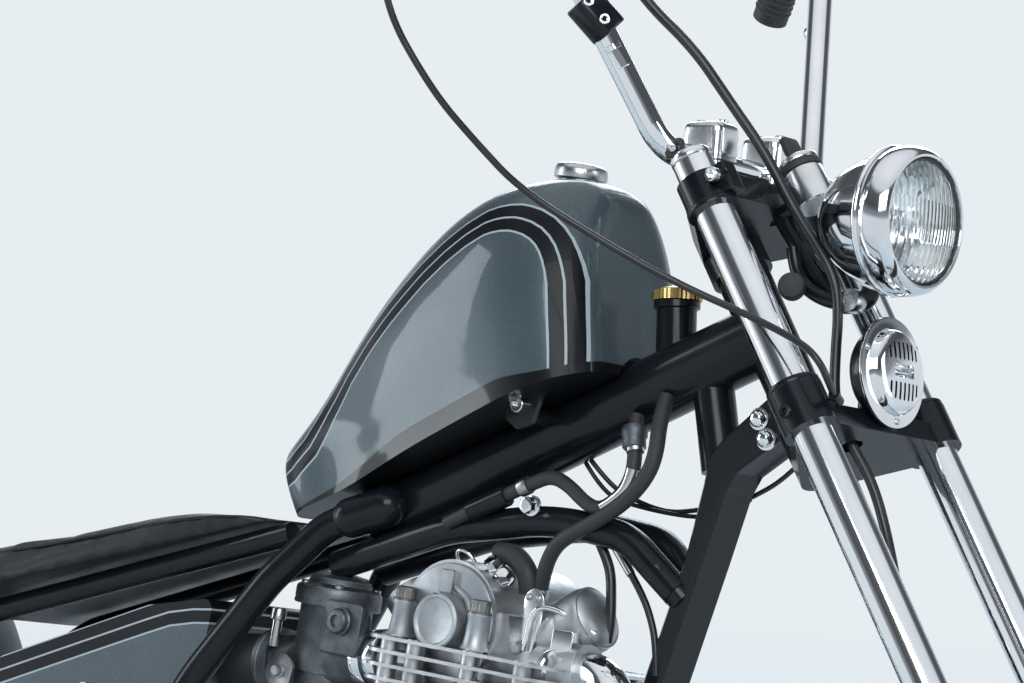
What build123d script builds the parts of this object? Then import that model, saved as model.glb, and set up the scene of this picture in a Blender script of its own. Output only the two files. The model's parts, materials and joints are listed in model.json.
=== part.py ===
from build123d import *
from math import cos, radians, sin, tan
import os

# A rigid-frame chopper with a single-cylinder engine, standing on its side stand.
# It is drawn upright: +X forward from the rear axle, +Y left, +Z up from the ground.
# Every finished piece is then leaned over and moved, so that the origin is the middle
# of the whole motorcycle's footprint. Lengths are millimetres, angles degrees.

# Stance
lean = 11
rake = 38
fork_offset = 50
clamp_x = 1310
clamp_z = 832
fit = 0.15
running_gap = 0.5
bearing_gap = 0.1
nipple_gap = 0.85
through = 200

# Fork and handlebar
fork_tube_diameter = 35
fork_spacing = 183
clamp_spread = 220
clamp_height = 38
clamp_plate = 26
lower_plate = 20
lower_bar = 32
collar_wall = 6
top_collar_wall = 4
stem_diameter = 25
slider_diameter = 48
slider_top = -285
slider_overlap = 60
fork_top = 266
front_axle_diameter = 15
bar_diameter = 22.2
grip_diameter = 34
grip_length = 100
perch_width = 18
housing_width = 26

# Wheels
front_radius = 347
front_crown = 40
front_bead = 266
front_rim_width = 50
rear_radius = 323
rear_crown = 60
rear_bead = 203
rear_rim_width = 88
rim_depth = 14
rim_lip = 3.5
spoke_diameter = 3.4
spoke_pairs = 9
rear_axle_diameter = 17
front_hub_right = 46
rear_hub_half = 52

# Frame
backbone_diameter = 60
backbone_slope = 28.2
backbone_meet = 910
backbone_end_x = 792
head_tube_diameter = 46
head_cup_diameter = 54
head_cup_height = 22
neck_diameter = 35
downtube_half_width = 22
stub_diameter = 36
brace_diameter = 27
seat_tube_diameter = 28
saddle_diameter = 37
rail_diameter = 22
cradle_diameter = 28
axle_plate = 10
axle_plate_y = 108
engine_plate = 6
lug_half_width = 18
rear_lug_half_width = 40
front_lug_x = 1041
front_lug_z = 330
rear_lug_x = 648
rear_lug_z = 276
lug_diameter = 26
rail_x = 727
rail_z = 673
rail_slope = 19.5

# Fuel tank
tank_x = 1061
tank_z = 861
tank_slope = 26.8
nose_radius = 38
tail_radius = 20
tunnel_gap = 4
lug_x = 987
lug_y = 66
lug_rise = 9
ear_thickness = 6

# Engine
crank_x = 950
crank_z = 325
case_half_width = 60
bore_x = 968
cylinder_base = 430
head_base = 556
head_deck = 612
fin_pitch = 12
fin_thickness = 3
fin_half_width = 90
fin_back = 862
fin_front = 1078
cam_x = 940
cam_z = 625
cam_radius = 54
cam_half_width = 66
cap_diameter = 42
cap_reach = 22

# Drive and stand
chain_y = 76
chain_width = 17
chain_height = 15
sprocket_gap = 1
sprocket_plate = 6
front_sprocket = 40
rear_sprocket_radius = 100
output_x = 705
output_z = 312
stand_pivot = Vector(700, 128, 168)
stand_fold = Vector(-0.95, 0.25, 0.12)
stand_foot_x = 752
stand_foot_y = 262
stand_diameter = 22
foot_thickness = 8
stand_pin = 10
stand_ear = 6


def wheel_height(radius, crown):
    """Axle height of a tyre whose round crown still touches the ground when leaned."""
    return radius - crown + crown / cos(radians(lean))


front_axle_z = wheel_height(front_radius, front_crown)
rear_axle_z = wheel_height(rear_radius, rear_crown)
front_axle_x = clamp_x + (clamp_z - front_axle_z) * tan(radians(rake))
front_axle_drop = -(clamp_z - front_axle_z) / cos(radians(rake))
fork_y = fork_spacing / 2
front_axle = Vector(front_axle_x, 0, front_axle_z)
rear_axle = Vector(0, 0, rear_axle_z)

# The steering axis: its own plane has x ahead, y left and z up the axis from the lower clamp
steer = Plane(
    origin=(clamp_x - fork_offset * cos(radians(rake)), 0, clamp_z - fork_offset * sin(radians(rake))),
    x_dir=(cos(radians(rake)), 0, sin(radians(rake))),
    z_dir=(-sin(radians(rake)), 0, cos(radians(rake))),
)
side = Plane.XZ
backbone_tan = tan(radians(backbone_slope))
axis_meet = steer.from_local_coords((0, 0, (backbone_meet - steer.origin.Z) / cos(radians(rake))))


def on_steer(x, y, z):
    """A point given in the steering axis's own plane."""
    return steer.from_local_coords((x, y, z))


def backbone_at(x):
    """Height of the backbone's centre line over a point on the ground."""
    return axis_meet.Z + (x - axis_meet.X) * backbone_tan


def rail_at(x):
    """Height of the seat rail's centre line."""
    return rail_z + (x - rail_x) * tan(radians(rail_slope))


def rail_y_at(x):
    """Half the spread of the seat rails behind their bend."""
    return 82 + (360 - x) * (axle_plate_y - 82) / 300


def rail_rear_at(x):
    """Height of the seat rails behind their bend."""
    return 350 + (x - 60) * (rail_at(360) - 350) / 300


def bar(start, end, diameter):
    """Add a straight round bar to the part that is being built."""
    start, end = Vector(*start), Vector(*end)
    with BuildSketch(Plane(start, z_dir=end - start)) as section:
        Circle(diameter / 2)
    extrude(section.sketch, amount=(end - start).length)


def bore(start, end, diameter):
    """Cut a round hole through the part that is being built."""
    start, end = Vector(*start), Vector(*end)
    with BuildSketch(Plane(start, z_dir=end - start)) as section:
        Circle(diameter / 2)
    extrude(section.sketch, amount=(end - start).length, mode=Mode.SUBTRACT)


def bend(points, diameter, radii):
    """Add a round bar that follows straight runs joined by arcs."""
    with BuildLine() as route:
        FilletPolyline(*points, radius=radii)
    with BuildSketch(Plane(route.line @ 0, z_dir=route.line % 0)) as section:
        Circle(diameter / 2)
    sweep(section.sketch, path=route.line)


def cord_radii(points):
    """Arc radius at each corner of a cord: 0.45 of the shorter run over tan of half the turn."""
    radii = []
    for before, corner, after in zip(points, points[1:], points[2:]):
        run_in = Vector(*corner) - Vector(*before)
        run_out = Vector(*after) - Vector(*corner)
        turn = radians(run_in.get_angle(run_out))
        radii.append(0.45 * min(run_in.length, run_out.length) / tan(turn / 2))
    return radii


def side_span(outward, near, far):
    """Lowest and highest y of a slab on one side of the motorcycle."""
    return sorted((outward * near, outward * far))


def mirrored(points):
    """The same points on the other side of the motorcycle."""
    return [(x, -y, z) for x, y, z in points]


def disc(centre, y_start, y_end, diameter):
    """Add a round solid whose axis runs across the motorcycle."""
    bar((centre[0], y_start, centre[1]), (centre[0], y_end, centre[1]), diameter)


def plate(outline, y_start, y_end, rounding=0):
    """Add a flat plate: a side-view outline with a thickness across the motorcycle."""
    with BuildSketch(side.offset(-y_start)) as face:
        with BuildLine():
            Polyline(*outline, close=True)
        make_face()
        if rounding:
            fillet(face.vertices(), rounding)
    extrude(face.sketch, amount=-(y_end - y_start))


def hexagon(start, end, across):
    """Add a hexagon head or nut between two points."""
    start, end = Vector(*start), Vector(*end)
    with BuildSketch(Plane(start, z_dir=end - start)) as section:
        RegularPolygon(across / 2, 6, major_radius=False)
    extrude(section.sketch, amount=(end - start).length)


pieces = {}


def keep(name, builder):
    """Remember a finished sub-part under its node name."""
    pieces[name] = builder.part


# Steering: stem and clamps

def clamp_outline(centre_radius, leg_radius):
    """Outline of a fork clamp's plate, round the stem and both fork tubes."""
    Circle(centre_radius)
    with Locations((fork_offset, fork_y), (fork_offset, -fork_y)):
        Circle(leg_radius)
    make_hull()


collar_radius = fork_tube_diameter / 2 + collar_wall
top_collar_radius = fork_tube_diameter / 2 + top_collar_wall
both_legs = [(fork_offset, fork_y), (fork_offset, -fork_y)]
head_bottom = clamp_height + running_gap
head_top = clamp_spread - running_gap

cable_guide = on_steer(fork_offset + 32, -fork_y, 16)
guide_end = on_steer(fork_offset + 26, -fork_y + 14, 14)

with BuildPart() as lower_clamp:
    with BuildSketch(steer):
        clamp_outline(head_cup_diameter / 2, lower_bar / 2)
    extrude(amount=lower_plate)
    with BuildSketch(steer):
        with Locations(*both_legs):
            Circle(collar_radius)
        Circle(head_cup_diameter / 2)
    extrude(amount=clamp_height)
    with BuildSketch(steer):
        Circle(stem_diameter / 2)
    extrude(amount=clamp_spread + clamp_height + 6)
    bar(cable_guide, guide_end, 9)
    bar(on_steer(fork_offset + 18, -fork_y + 5, 14), (cable_guide + guide_end) * 0.5, 8)
    with BuildSketch(steer):
        with Locations(*both_legs):
            Circle(fork_tube_diameter / 2 + fit)
        with Locations((40, -23)):
            SlotOverall(24, 18, rotation=90)
    extrude(amount=clamp_height, mode=Mode.SUBTRACT)
keep("lower_clamp", lower_clamp)

pinch_x = fork_offset + 24
pinch_y = fork_y + 8
pinch_z = clamp_spread + clamp_plate / 2
pinch_screw = 12
pinch_head = 8

with BuildPart() as upper_clamp:
    with BuildSketch(steer.offset(clamp_spread)):
        clamp_outline(head_cup_diameter / 2, top_collar_radius - 3)
    extrude(amount=clamp_plate)
    with BuildSketch(steer.offset(clamp_spread)):
        with Locations(*both_legs):
            Circle(top_collar_radius)
        for outward in (1, -1):
            with Locations((pinch_x - 6, outward * (fork_y - 2))):
                RectangleRounded(24, 20, 4)
    extrude(amount=clamp_plate)
    for outward in (1, -1):
        lug_end, washer_end, screw_end = [
            on_steer(pinch_x, outward * (pinch_y + reach), pinch_z) for reach in (-1, 2, 2 + pinch_head)]
        bar(lug_end, washer_end, pinch_screw + 3)
        bar(washer_end, screw_end, pinch_screw)
    with BuildSketch(steer.offset(clamp_spread)):
        with Locations(*both_legs):
            Circle(fork_tube_diameter / 2 + fit)
        Circle(stem_diameter / 2 + fit)
    extrude(amount=clamp_plate, mode=Mode.SUBTRACT)
keep("upper_clamp", upper_clamp)

# Fork legs

with BuildPart() as fork_tubes:
    with BuildSketch(steer.offset(slider_top - slider_overlap)):
        with Locations(*both_legs):
            Circle(fork_tube_diameter / 2)
    extrude(amount=fork_top - slider_top + slider_overlap)
    chamfer(fork_tubes.faces().sort_by(Axis(steer.origin, steer.z_dir))[-2:].edges(), 2)
keep("fork_tubes", fork_tubes)

with BuildPart() as fork_sliders:
    with BuildSketch(steer.offset(front_axle_drop - 24)):
        with Locations(*both_legs):
            Circle(slider_diameter / 2)
    extrude(amount=slider_top - front_axle_drop + 24)
    with BuildSketch(steer.offset(slider_top - 22)):
        with Locations(*both_legs):
            Circle(slider_diameter / 2 + 4)
    extrude(amount=22)
    with BuildSketch(steer.offset(slider_top - slider_overlap)):
        with Locations(*both_legs):
            Circle(fork_tube_diameter / 2 + fit)
    extrude(amount=slider_overlap, mode=Mode.SUBTRACT)
    bore(front_axle + Vector(0, -fork_spacing, 0), front_axle + Vector(0, fork_spacing, 0),
         front_axle_diameter + 2 * fit)
keep("fork_sliders", fork_sliders)

# Wheels

def tyre_section(centre, radius, crown, bead, width):
    """Tyre profile in the wheel's plane: along the axle and out from it."""
    half = width / 2 - rim_lip
    middle = radius - crown
    shoulder = middle - crown * 0.75
    with BuildSketch(wheel_plane(centre)) as section:
        with BuildLine():
            Polyline((half, shoulder), (half, bead), (-half, bead), (-half, shoulder))
            ThreePointArc((-half, shoulder), (-crown * 0.94, middle - crown * 0.34), (-crown, middle))
            ThreePointArc((-crown, middle), (0, radius), (crown, middle))
            ThreePointArc((crown, middle), (crown * 0.94, middle - crown * 0.34), (half, shoulder))
        make_face()
    return section.sketch


def rim_section(centre, bead, width):
    """Rim profile: a shallow channel with two lips outside the tyre's beads."""
    half = width / 2
    top = bead - fit
    lip = half - rim_lip + 2 * fit
    with BuildSketch(wheel_plane(centre)) as section:
        with BuildLine():
            Polyline(
                (half, bead - rim_depth * 0.4), (half, bead + 8), (lip, bead + 8), (lip, top), (-lip, top),
                (-lip, bead + 8), (-half, bead + 8), (-half, bead - rim_depth * 0.4),
                (-half * 0.55, bead - rim_depth), (half * 0.55, bead - rim_depth), close=True,
            )
        make_face()
    return section.sketch


def wheel_plane(centre):
    """Plane whose x axis is the axle and whose y axis points up."""
    return Plane(origin=centre, x_dir=(0, 1, 0), z_dir=(1, 0, 0))


def wheel_ring(centre, section):
    """A closed ring round an axle, from a profile."""
    with BuildPart() as ring:
        revolve(section, axis=Axis(centre, (0, 1, 0)))
    return ring


def hub(centre, flanges, barrel, bore_diameter, rim_inner, rim_half):
    """A hub with its laced spokes. flanges holds the y place and the radius of each flange."""
    with BuildPart() as hub_part:
        disc((centre.X, centre.Z), barrel[0], barrel[1], barrel[2])
        for flange_y, flange_radius in flanges:
            disc((centre.X, centre.Z), flange_y - 4, flange_y + 4, 2 * flange_radius)
        step = 360 / spoke_pairs
        for flange_y, flange_radius in flanges:
            outward = 1 if flange_y > 0 else -1
            for lay, twist in ((2.2, 1), (-2.2, -1)):
                for turn in range(spoke_pairs):
                    start_angle = radians(turn * step + (0 if outward > 0 else step / 2))
                    end_angle = start_angle + twist * radians(step * 1.15)
                    start_radius = flange_radius - 5
                    start = Vector(centre.X + start_radius * cos(start_angle), flange_y + lay,
                                   centre.Z + start_radius * sin(start_angle))
                    end_y = outward * rim_half + lay * 1.3
                    end = Vector(centre.X + rim_inner * cos(end_angle), end_y,
                                 centre.Z + rim_inner * sin(end_angle))
                    bar(start, end, spoke_diameter)
        bore((centre.X, -through, centre.Z), (centre.X, through, centre.Z), bore_diameter)
    return hub_part


keep("front_tyre", wheel_ring(front_axle, tyre_section(front_axle, front_radius, front_crown,
                                                       front_bead, front_rim_width)))
keep("front_rim", wheel_ring(front_axle, rim_section(front_axle, front_bead, front_rim_width)))
keep("rear_tyre", wheel_ring(rear_axle, tyre_section(rear_axle, rear_radius, rear_crown,
                                                     rear_bead, rear_rim_width)))
keep("rear_rim", wheel_ring(rear_axle, rim_section(rear_axle, rear_bead, rear_rim_width)))
keep("front_hub", hub(front_axle, ((32, 40), (-30, 78)), (-front_hub_right, 40, 56),
                      front_axle_diameter + 2 * bearing_gap, front_bead - rim_depth - nipple_gap, 8))
keep("rear_hub", hub(rear_axle, ((36, 60), (-36, 88)), (-rear_hub_half, rear_hub_half, 76),
                     rear_axle_diameter + 2 * bearing_gap, rear_bead - rim_depth - nipple_gap, 14))

sprocket_inside = chain_y - sprocket_plate / 2
sprocket_outside = chain_y + sprocket_plate / 2

with BuildPart() as rear_sprocket:
    disc((0, rear_axle_z), rear_hub_half + fit, sprocket_outside, 90)
    disc((0, rear_axle_z), sprocket_inside, sprocket_outside,
         2 * (rear_sprocket_radius - chain_height / 2 - sprocket_gap))
    bore((0, 0, rear_axle_z), (0, through, rear_axle_z), rear_axle_diameter + 2 * bearing_gap)
keep("rear_sprocket", rear_sprocket)

with BuildPart() as front_axle_rod:
    disc((front_axle_x, front_axle_z), -fork_y - 34, fork_y + 34, front_axle_diameter)
    for outward in (1, -1):
        hexagon((front_axle_x, outward * (fork_y + slider_diameter / 2 + fit), front_axle_z),
                (front_axle_x, outward * (fork_y + slider_diameter / 2 + 12), front_axle_z), 24)
keep("front_axle", front_axle_rod)

brake_stop = on_steer(-10, -77, front_axle_drop + 66)

with BuildPart() as front_brake_plate:
    disc((front_axle_x, front_axle_z), -66, -front_hub_right - running_gap, 150)
    bar(on_steer(-10, -60, front_axle_drop + 36), on_steer(-10, -82, front_axle_drop + 36), 14)
    bar(on_steer(-10, -77, front_axle_drop + 30), brake_stop - steer.z_dir * fit, 12)
    bar(on_steer(8, -62, front_axle_drop - 34), on_steer(8, -84, front_axle_drop - 34), 18)
    bar(on_steer(8, -80, front_axle_drop - 34), on_steer(-10, -79, front_axle_drop + 6), 7)
    bar(on_steer(-10, -77, front_axle_drop + 6), on_steer(-10, -77, front_axle_drop + 32), 4)
    bore((front_axle_x, -through, front_axle_z), (front_axle_x, 0, front_axle_z),
         front_axle_diameter + 2 * fit)
keep("front_brake_plate", front_brake_plate)

# Handlebar and what it carries

riser_y = 42
riser_half_width = 16
riser_reach = 20
riser_rise = 25
riser_foot = on_steer(14, riser_y, clamp_spread + clamp_plate)
bar_clamp = Vector(1126, riser_y, 1047)
bar_route = [(bar_clamp.X, 107, bar_clamp.Z), (954, 290, 1392), (869, 354, 1237)]

with BuildPart() as handlebar:
    bend(mirrored(bar_route[::-1]) + bar_route, bar_diameter, [32, 38, 38, 32])
keep("handlebar", handlebar)

def on_grip(outward, inboard, ahead=0, aside=0):
    """A point near a grip: measured in from the bar's end, ahead of the bar and out to its side."""
    end = Vector(bar_route[-1][0], outward * bar_route[-1][1], bar_route[-1][2])
    corner = Vector(bar_route[-2][0], outward * bar_route[-2][1], bar_route[-2][2])
    along = (corner - end).normalized()
    forward = (Vector(1, 0, 0) - along * along.X).normalized()
    sideways = along.cross(forward) * outward
    return end + along * inboard + forward * ahead + sideways * aside


grip_inner = grip_length - 4
perch_place = grip_inner + housing_width + 2 + perch_width / 2
right_hand = -1

with BuildPart() as grips:
    for outward in (1, -1):
        bar(on_grip(outward, -4), on_grip(outward, grip_inner), grip_diameter)
        bore(on_grip(outward, 0), on_grip(outward, grip_inner), bar_diameter + 2 * fit)
keep("grips", grips)

lever_reach = 52

with BuildPart() as bar_controls:
    for outward in (1, -1):
        perch_start = on_grip(outward, perch_place - perch_width / 2)
        perch_end = on_grip(outward, perch_place + perch_width / 2)
        bar(perch_start, perch_end, grip_diameter)
        bar(on_grip(outward, perch_place, 10), on_grip(outward, perch_place, 34), 16)
        bar(on_grip(outward, perch_place + 4, 34), on_grip(outward, perch_place - 40, lever_reach), 11)
        bar(on_grip(outward, perch_place - 40, lever_reach), on_grip(outward, 8, lever_reach - 2), 11)
        with Locations(on_grip(outward, 8, lever_reach - 2)):
            Sphere(9)
    bar(on_grip(right_hand, grip_inner + fit), on_grip(right_hand, grip_inner + housing_width), 42)
    bar(on_grip(right_hand, grip_inner + housing_width / 2, 12, 9),
        on_grip(right_hand, grip_inner + housing_width / 2, 20, 15), 12)
    mirror_centre = Vector(1028, -300, 1172)
    mirror_stem = on_grip(right_hand, perch_place + 6, 12)
    bar(mirror_stem, mirror_centre + Vector(-2, 0, 24), 8)
    bar(mirror_centre + Vector(-8, 2, 0), mirror_centre + Vector(4, -1, 0), 70)
    bore(on_grip(1, 0), on_grip(1, perch_place + 20), bar_diameter + 2 * fit)
    bore(on_grip(-1, 0), on_grip(-1, perch_place + 20), bar_diameter + 2 * fit)
keep("bar_controls", bar_controls)

with BuildPart() as risers:
    for outward in (1, -1):
        foot = Vector(riser_foot.X, outward * riser_y, riser_foot.Z)
        head = Vector(bar_clamp.X, outward * riser_y, bar_clamp.Z)
        lean_up = (head - foot).normalized()
        bar(foot, head, 2 * riser_half_width)
        with BuildSketch(Plane(head - lean_up * 16, x_dir=(0, 1, 0), z_dir=lean_up)) as block:
            RectangleRounded(2 * riser_half_width, 2 * riser_reach, 6)
        extrude(block.sketch, amount=16 + riser_rise)
        bore(head - Vector(0, 30, 0), head + Vector(0, 30, 0), bar_diameter + 2 * fit)
    add(upper_clamp.part, mode=Mode.SUBTRACT)
keep("risers", risers)

# Lamp, horn and switch

lamp_centre = Vector(1285, 0, 1016)
lamp_tilt = 4.5
lamp = Plane(origin=lamp_centre, x_dir=(0, 1, 0),
             z_dir=(cos(radians(lamp_tilt)), 0, sin(radians(lamp_tilt))))
lamp_radius = 63.5
lens_radius = 52.5

with BuildPart() as headlight_shell:
    with BuildSketch(Plane(origin=lamp_centre, x_dir=lamp.z_dir, z_dir=(0, -1, 0))):
        with BuildLine():
            Spline((-56, 0), (-48, 26), (-22, 50), (8, lamp_radius - 3), tangents=((0, 1), (1, 0.15)))
            Polyline((8, lamp_radius - 3), (12, lamp_radius), (38, lamp_radius - 4), (42, lens_radius + 4),
                     (34, lens_radius + fit), (24, lens_radius + fit), (24, 0), (-56, 0))
        make_face()
    revolve(axis=Axis(lamp_centre, lamp.z_dir))
keep("headlight_shell", headlight_shell)

with BuildPart() as headlight_glass:
    with BuildSketch(Plane(origin=lamp_centre, x_dir=lamp.z_dir, z_dir=(0, -1, 0))):
        with BuildLine():
            TangentArc((37, 0), (30, lens_radius), tangent=(0, 1))
            Polyline((30, lens_radius), (24 + fit, lens_radius), (24 + fit, 0), (37, 0))
        make_face()
    revolve(axis=Axis(lamp_centre, lamp.z_dir))
keep("headlight_glass", headlight_glass)

horn_centre = Vector(1307, 0, 890)
horn_radius = 46.5
horn_plane = Plane(origin=horn_centre, x_dir=(0, 1, 0), z_dir=(cos(radians(12)), 0, sin(radians(12))))
horn_depth = 32

with BuildPart() as horn:
    with BuildSketch(horn_plane.offset(-horn_depth + 12)):
        Circle(horn_radius * 0.8)
    extrude(amount=horn_depth - 12, taper=-8)
    with BuildSketch(horn_plane):
        Circle(horn_radius)
    extrude(amount=12, taper=12)
    bar(on_steer(44, 0, lower_plate), on_steer(60, 0, lower_plate + 26), 14)
    add(lower_clamp.part, mode=Mode.SUBTRACT)
keep("horn", horn)

bracket_route = [on_steer(fork_offset + 6, 0, clamp_spread + 12), (1222, 0, 968), (1256, 0, 942),
                 (1280, 0, 948), (1286, 0, 972)]

with BuildPart() as headlight_bracket:
    bend(bracket_route, 16, [18, 12, 9])
    add(headlight_shell.part, mode=Mode.SUBTRACT)
    add(upper_clamp.part, mode=Mode.SUBTRACT)
keep("headlight_bracket", headlight_bracket)

key_foot = Vector(1216, 0, 1022)
key_diameter = 27
key_length = 48

with BuildPart() as key_switch:
    bar(key_foot + steer.z_dir * 2, key_foot + steer.z_dir * key_length, key_diameter)
    bar(key_foot + steer.z_dir * key_length, key_foot + steer.z_dir * (key_length + 5), key_diameter - 5)
    bar(on_steer(fork_offset, 0, clamp_spread + 13), key_foot + steer.z_dir * 14, 18)
    key_top = Plane(key_foot + steer.z_dir * (key_length + 5), x_dir=(0, 1, 0), z_dir=steer.z_dir)
    with BuildSketch(key_top) as key_bow:
        RectangleRounded(5, 20, 2)
    extrude(key_bow.sketch, amount=16)
    add(upper_clamp.part, mode=Mode.SUBTRACT)
    add(headlight_shell.part, mode=Mode.SUBTRACT)
    add(headlight_bracket.part, mode=Mode.SUBTRACT)
keep("key_switch", key_switch)

# Main frame

headtube_start = on_steer(0, 0, head_bottom)
headtube_end = on_steer(0, 0, head_top)

neck_foot = Vector(1094, 0, backbone_at(1094))
neck_top = Vector(1084, 0, 922)
neck_axis = (neck_top - neck_foot).normalized()

lug_z = backbone_at(lug_x) + lug_rise

with BuildPart() as backbone:
    bar(headtube_start, headtube_end, head_tube_diameter)
    bar(headtube_start, headtube_start + steer.z_dir * head_cup_height, head_cup_diameter)
    bar(headtube_end - steer.z_dir * head_cup_height, headtube_end, head_cup_diameter)
    bar((axis_meet.X, 0, axis_meet.Z), (backbone_end_x, 0, backbone_at(backbone_end_x)), backbone_diameter)
    bar(neck_foot, neck_top, neck_diameter)
    bar((lug_x, -lug_y, lug_z), (lug_x, lug_y, lug_z), 14)
    bore(headtube_start - steer.z_dir * 5, headtube_end + steer.z_dir * 5, stem_diameter + 2 * bearing_gap)
keep("backbone", backbone)

with BuildPart() as oil_filler_cap:
    bar(neck_top + neck_axis * fit, neck_top + neck_axis * 18, neck_diameter + 9)
keep("oil_filler_cap", oil_filler_cap)

# The downtube is a pressed box whose upper end widens into the gusset behind the steering head
downtube_outline = [(1215, 862), (1232, 826), (1188, 790), (1180, 772), (1168, 713), (1079, 300), (1064, 250),
                    (1046, 226), (1034, 240), (1059, 300), (1149, 713), (1156, 776), (1157, 800), (1168, 816)]

with BuildPart() as downtube:
    plate(downtube_outline, -downtube_half_width, downtube_half_width, 4)
    chamfer(downtube.edges().filter_by(lambda edge: abs(edge.center().Y) > downtube_half_width - 1), 3)
    bar((1134, 0, 866), (1159, 0, 790), stub_diameter)
    bore(headtube_start - steer.z_dir * 5, headtube_end + steer.z_dir * 5, head_tube_diameter - 6)
    add(backbone.part, mode=Mode.SUBTRACT)
    for outward in (1, -1):
        plate([(front_lug_x - 9, front_lug_z - 13), (front_lug_x - 9, front_lug_z + 13),
               (front_lug_x + 41, front_lug_z + 22), (front_lug_x + 31, front_lug_z - 30)],
              *side_span(outward, lug_half_width + fit, lug_half_width + fit + engine_plate), 3)
keep("downtube", downtube)

with BuildPart() as braces:
    for outward in (1, -1):
        bend([(772, outward * 32, 654), (895, outward * 32, 703), (1011, outward * 31, 727),
              (1090, outward * 26, 722), (1144, outward * 16, 682)], brace_diameter, [200, 260, 60])
    add(downtube.part, mode=Mode.SUBTRACT)
    add(backbone.part, mode=Mode.SUBTRACT)
keep("braces", braces)

seat_tube_route = [(834, 36, 722), (770, 55, 686), (732, 75, 632), (672, 90, 535), (634, 105, 440),
                   (622, 108, 300), (618, 104, 200)]
saddle_start = Vector(826, 40, 714)
saddle_end = Vector(794, 48, 699)

with BuildPart() as seat_tubes:
    for points in (seat_tube_route, mirrored(seat_tube_route)):
        bend(points, seat_tube_diameter, [60, 120, 200, 150, 400])
    for outward in (1, -1):
        saddle = [Vector(place.X, outward * place.Y, place.Z) for place in (saddle_start, saddle_end)]
        bar(*saddle, saddle_diameter)
        with Locations(*saddle):
            Sphere(saddle_diameter / 2)
    add(backbone.part, mode=Mode.SUBTRACT)
    add(braces.part, mode=Mode.SUBTRACT)
keep("seat_tubes", seat_tubes)

# The side stand stands on the leaned ground, and its hinge turns it back along the frame
stand_foot = Vector(stand_foot_x, stand_foot_y, stand_foot_y * tan(radians(lean)))
ground_up = Vector(0, -sin(radians(lean)), cos(radians(lean)))
stand_ankle = stand_foot + ground_up * (foot_thickness + stand_diameter / 2)
stand_along = (stand_ankle - stand_pivot).normalized()
stand_axis = stand_along.cross(stand_fold).normalized()
stand_plane = Plane(stand_pivot, z_dir=stand_axis)

cradle_route = [(1052, 12, 246), (1030, 60, 190), (960, 92, 186), (640, 98, 186), (560, 104, 196)]

with BuildPart() as cradle:
    for points in (cradle_route, mirrored(cradle_route)):
        bend(points, cradle_diameter, [40, 60, 120])
    bar((640, -98, 186), (640, 98, 186), 25)
    for outward in (1, -1):
        plate([(630, 180), (652, 180), (660, 262), (660, 290), (638, 290), (630, 240)],
              *side_span(outward, rear_lug_half_width + fit, rear_lug_half_width + fit + engine_plate), 3)
    ear_foot = stand_plane.to_local_coords(Vector(stand_pivot.X, 97, 186))
    with BuildSketch(stand_plane.offset(stand_diameter / 2 + running_gap)):
        Circle(1.3 * stand_pin)
        with Locations((ear_foot.X, ear_foot.Y)):
            Circle(1.3 * stand_pin)
        make_hull()
    extrude(amount=stand_ear)
    bar(stand_pivot - stand_axis * (stand_diameter / 2 + running_gap + stand_ear),
        stand_pivot + stand_axis * (stand_diameter / 2 + running_gap + 1), stand_pin)
    bar(stand_pivot - stand_axis * (stand_diameter / 2 + running_gap + stand_ear),
        stand_pivot - stand_axis * (stand_diameter / 2 + running_gap), 2 * stand_pin)
    add(downtube.part, mode=Mode.SUBTRACT)
    add(seat_tubes.part, mode=Mode.SUBTRACT)
keep("cradle", cradle)

top_rail = [(735, 58, rail_at(735)), (563, 70, rail_at(563)), (360, 82, rail_at(360)),
            (60, axle_plate_y, 350), (20, axle_plate_y, 330)]
low_rail = [(560 - fit, 104, 196), (440, 106, 212), (20, axle_plate_y, rear_axle_z - 6)]

with BuildPart() as tail_rails:
    for flip in (False, True):
        upper = mirrored(top_rail) if flip else top_rail
        lower = mirrored(low_rail) if flip else low_rail
        bend(upper, rail_diameter, [600, 120, 40])
        bend(lower, rail_diameter, [120])
    for outward in (1, -1):
        plate([(-42, rear_axle_z + 26), (46, rear_axle_z + 40), (66, rear_axle_z), (46, rear_axle_z - 28),
               (-42, rear_axle_z - 26)],
              *side_span(outward, axle_plate_y - axle_plate / 2, axle_plate_y + axle_plate / 2), 10)
    bore((0, -through, rear_axle_z), (0, through, rear_axle_z), rear_axle_diameter + 2 * fit)
    add(seat_tubes.part, mode=Mode.SUBTRACT)
    add(cradle.part, mode=Mode.SUBTRACT)
    add(braces.part, mode=Mode.SUBTRACT)
keep("tail_rails", tail_rails)

axle_reach = axle_plate_y + axle_plate / 2
axle_inside = axle_plate_y - axle_plate / 2
rear_nut = 27
rear_drum = 168

with BuildPart() as rear_axle_rod:
    disc((0, rear_axle_z), -axle_reach - 20, axle_reach + 20, rear_axle_diameter)
    for outward in (1, -1):
        hexagon((0, outward * (axle_reach + fit), rear_axle_z), (0, outward * (axle_reach + 14), rear_axle_z),
                rear_nut)
    disc((0, rear_axle_z), sprocket_outside + running_gap, axle_inside - fit, 30)
    disc((0, rear_axle_z), -axle_inside + fit, -rear_hub_half - running_gap, 30)
    disc((0, rear_axle_z), -66, -rear_hub_half - running_gap, rear_drum)
keep("rear_axle", rear_axle_rod)

# Fuel tank

tank_foot = Vector(tank_x, 0, tank_z)
tank_back = Vector(-cos(radians(tank_slope)), 0, -sin(radians(tank_slope)))
tank_up = Vector(-sin(radians(tank_slope)), 0, cos(radians(tank_slope)))

# Sections of the tank along its floor: distance back, lean, half width and height
tank_sections = [
    (5, -10, 61, 161),
    (19, -8, 82, 183),
    (56, -4, 102, 198),
    (100, -2, 102, 201),
    (150, 0, 95, 190),
    (242, 0, 77, 151),
    (331, 0, 60, 96),
    (378, 6, 49, 69),
]
tank_roundness = 0.62
tank_points = 8
tank_nose_end = 34
tank_tail_start = 335


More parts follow.
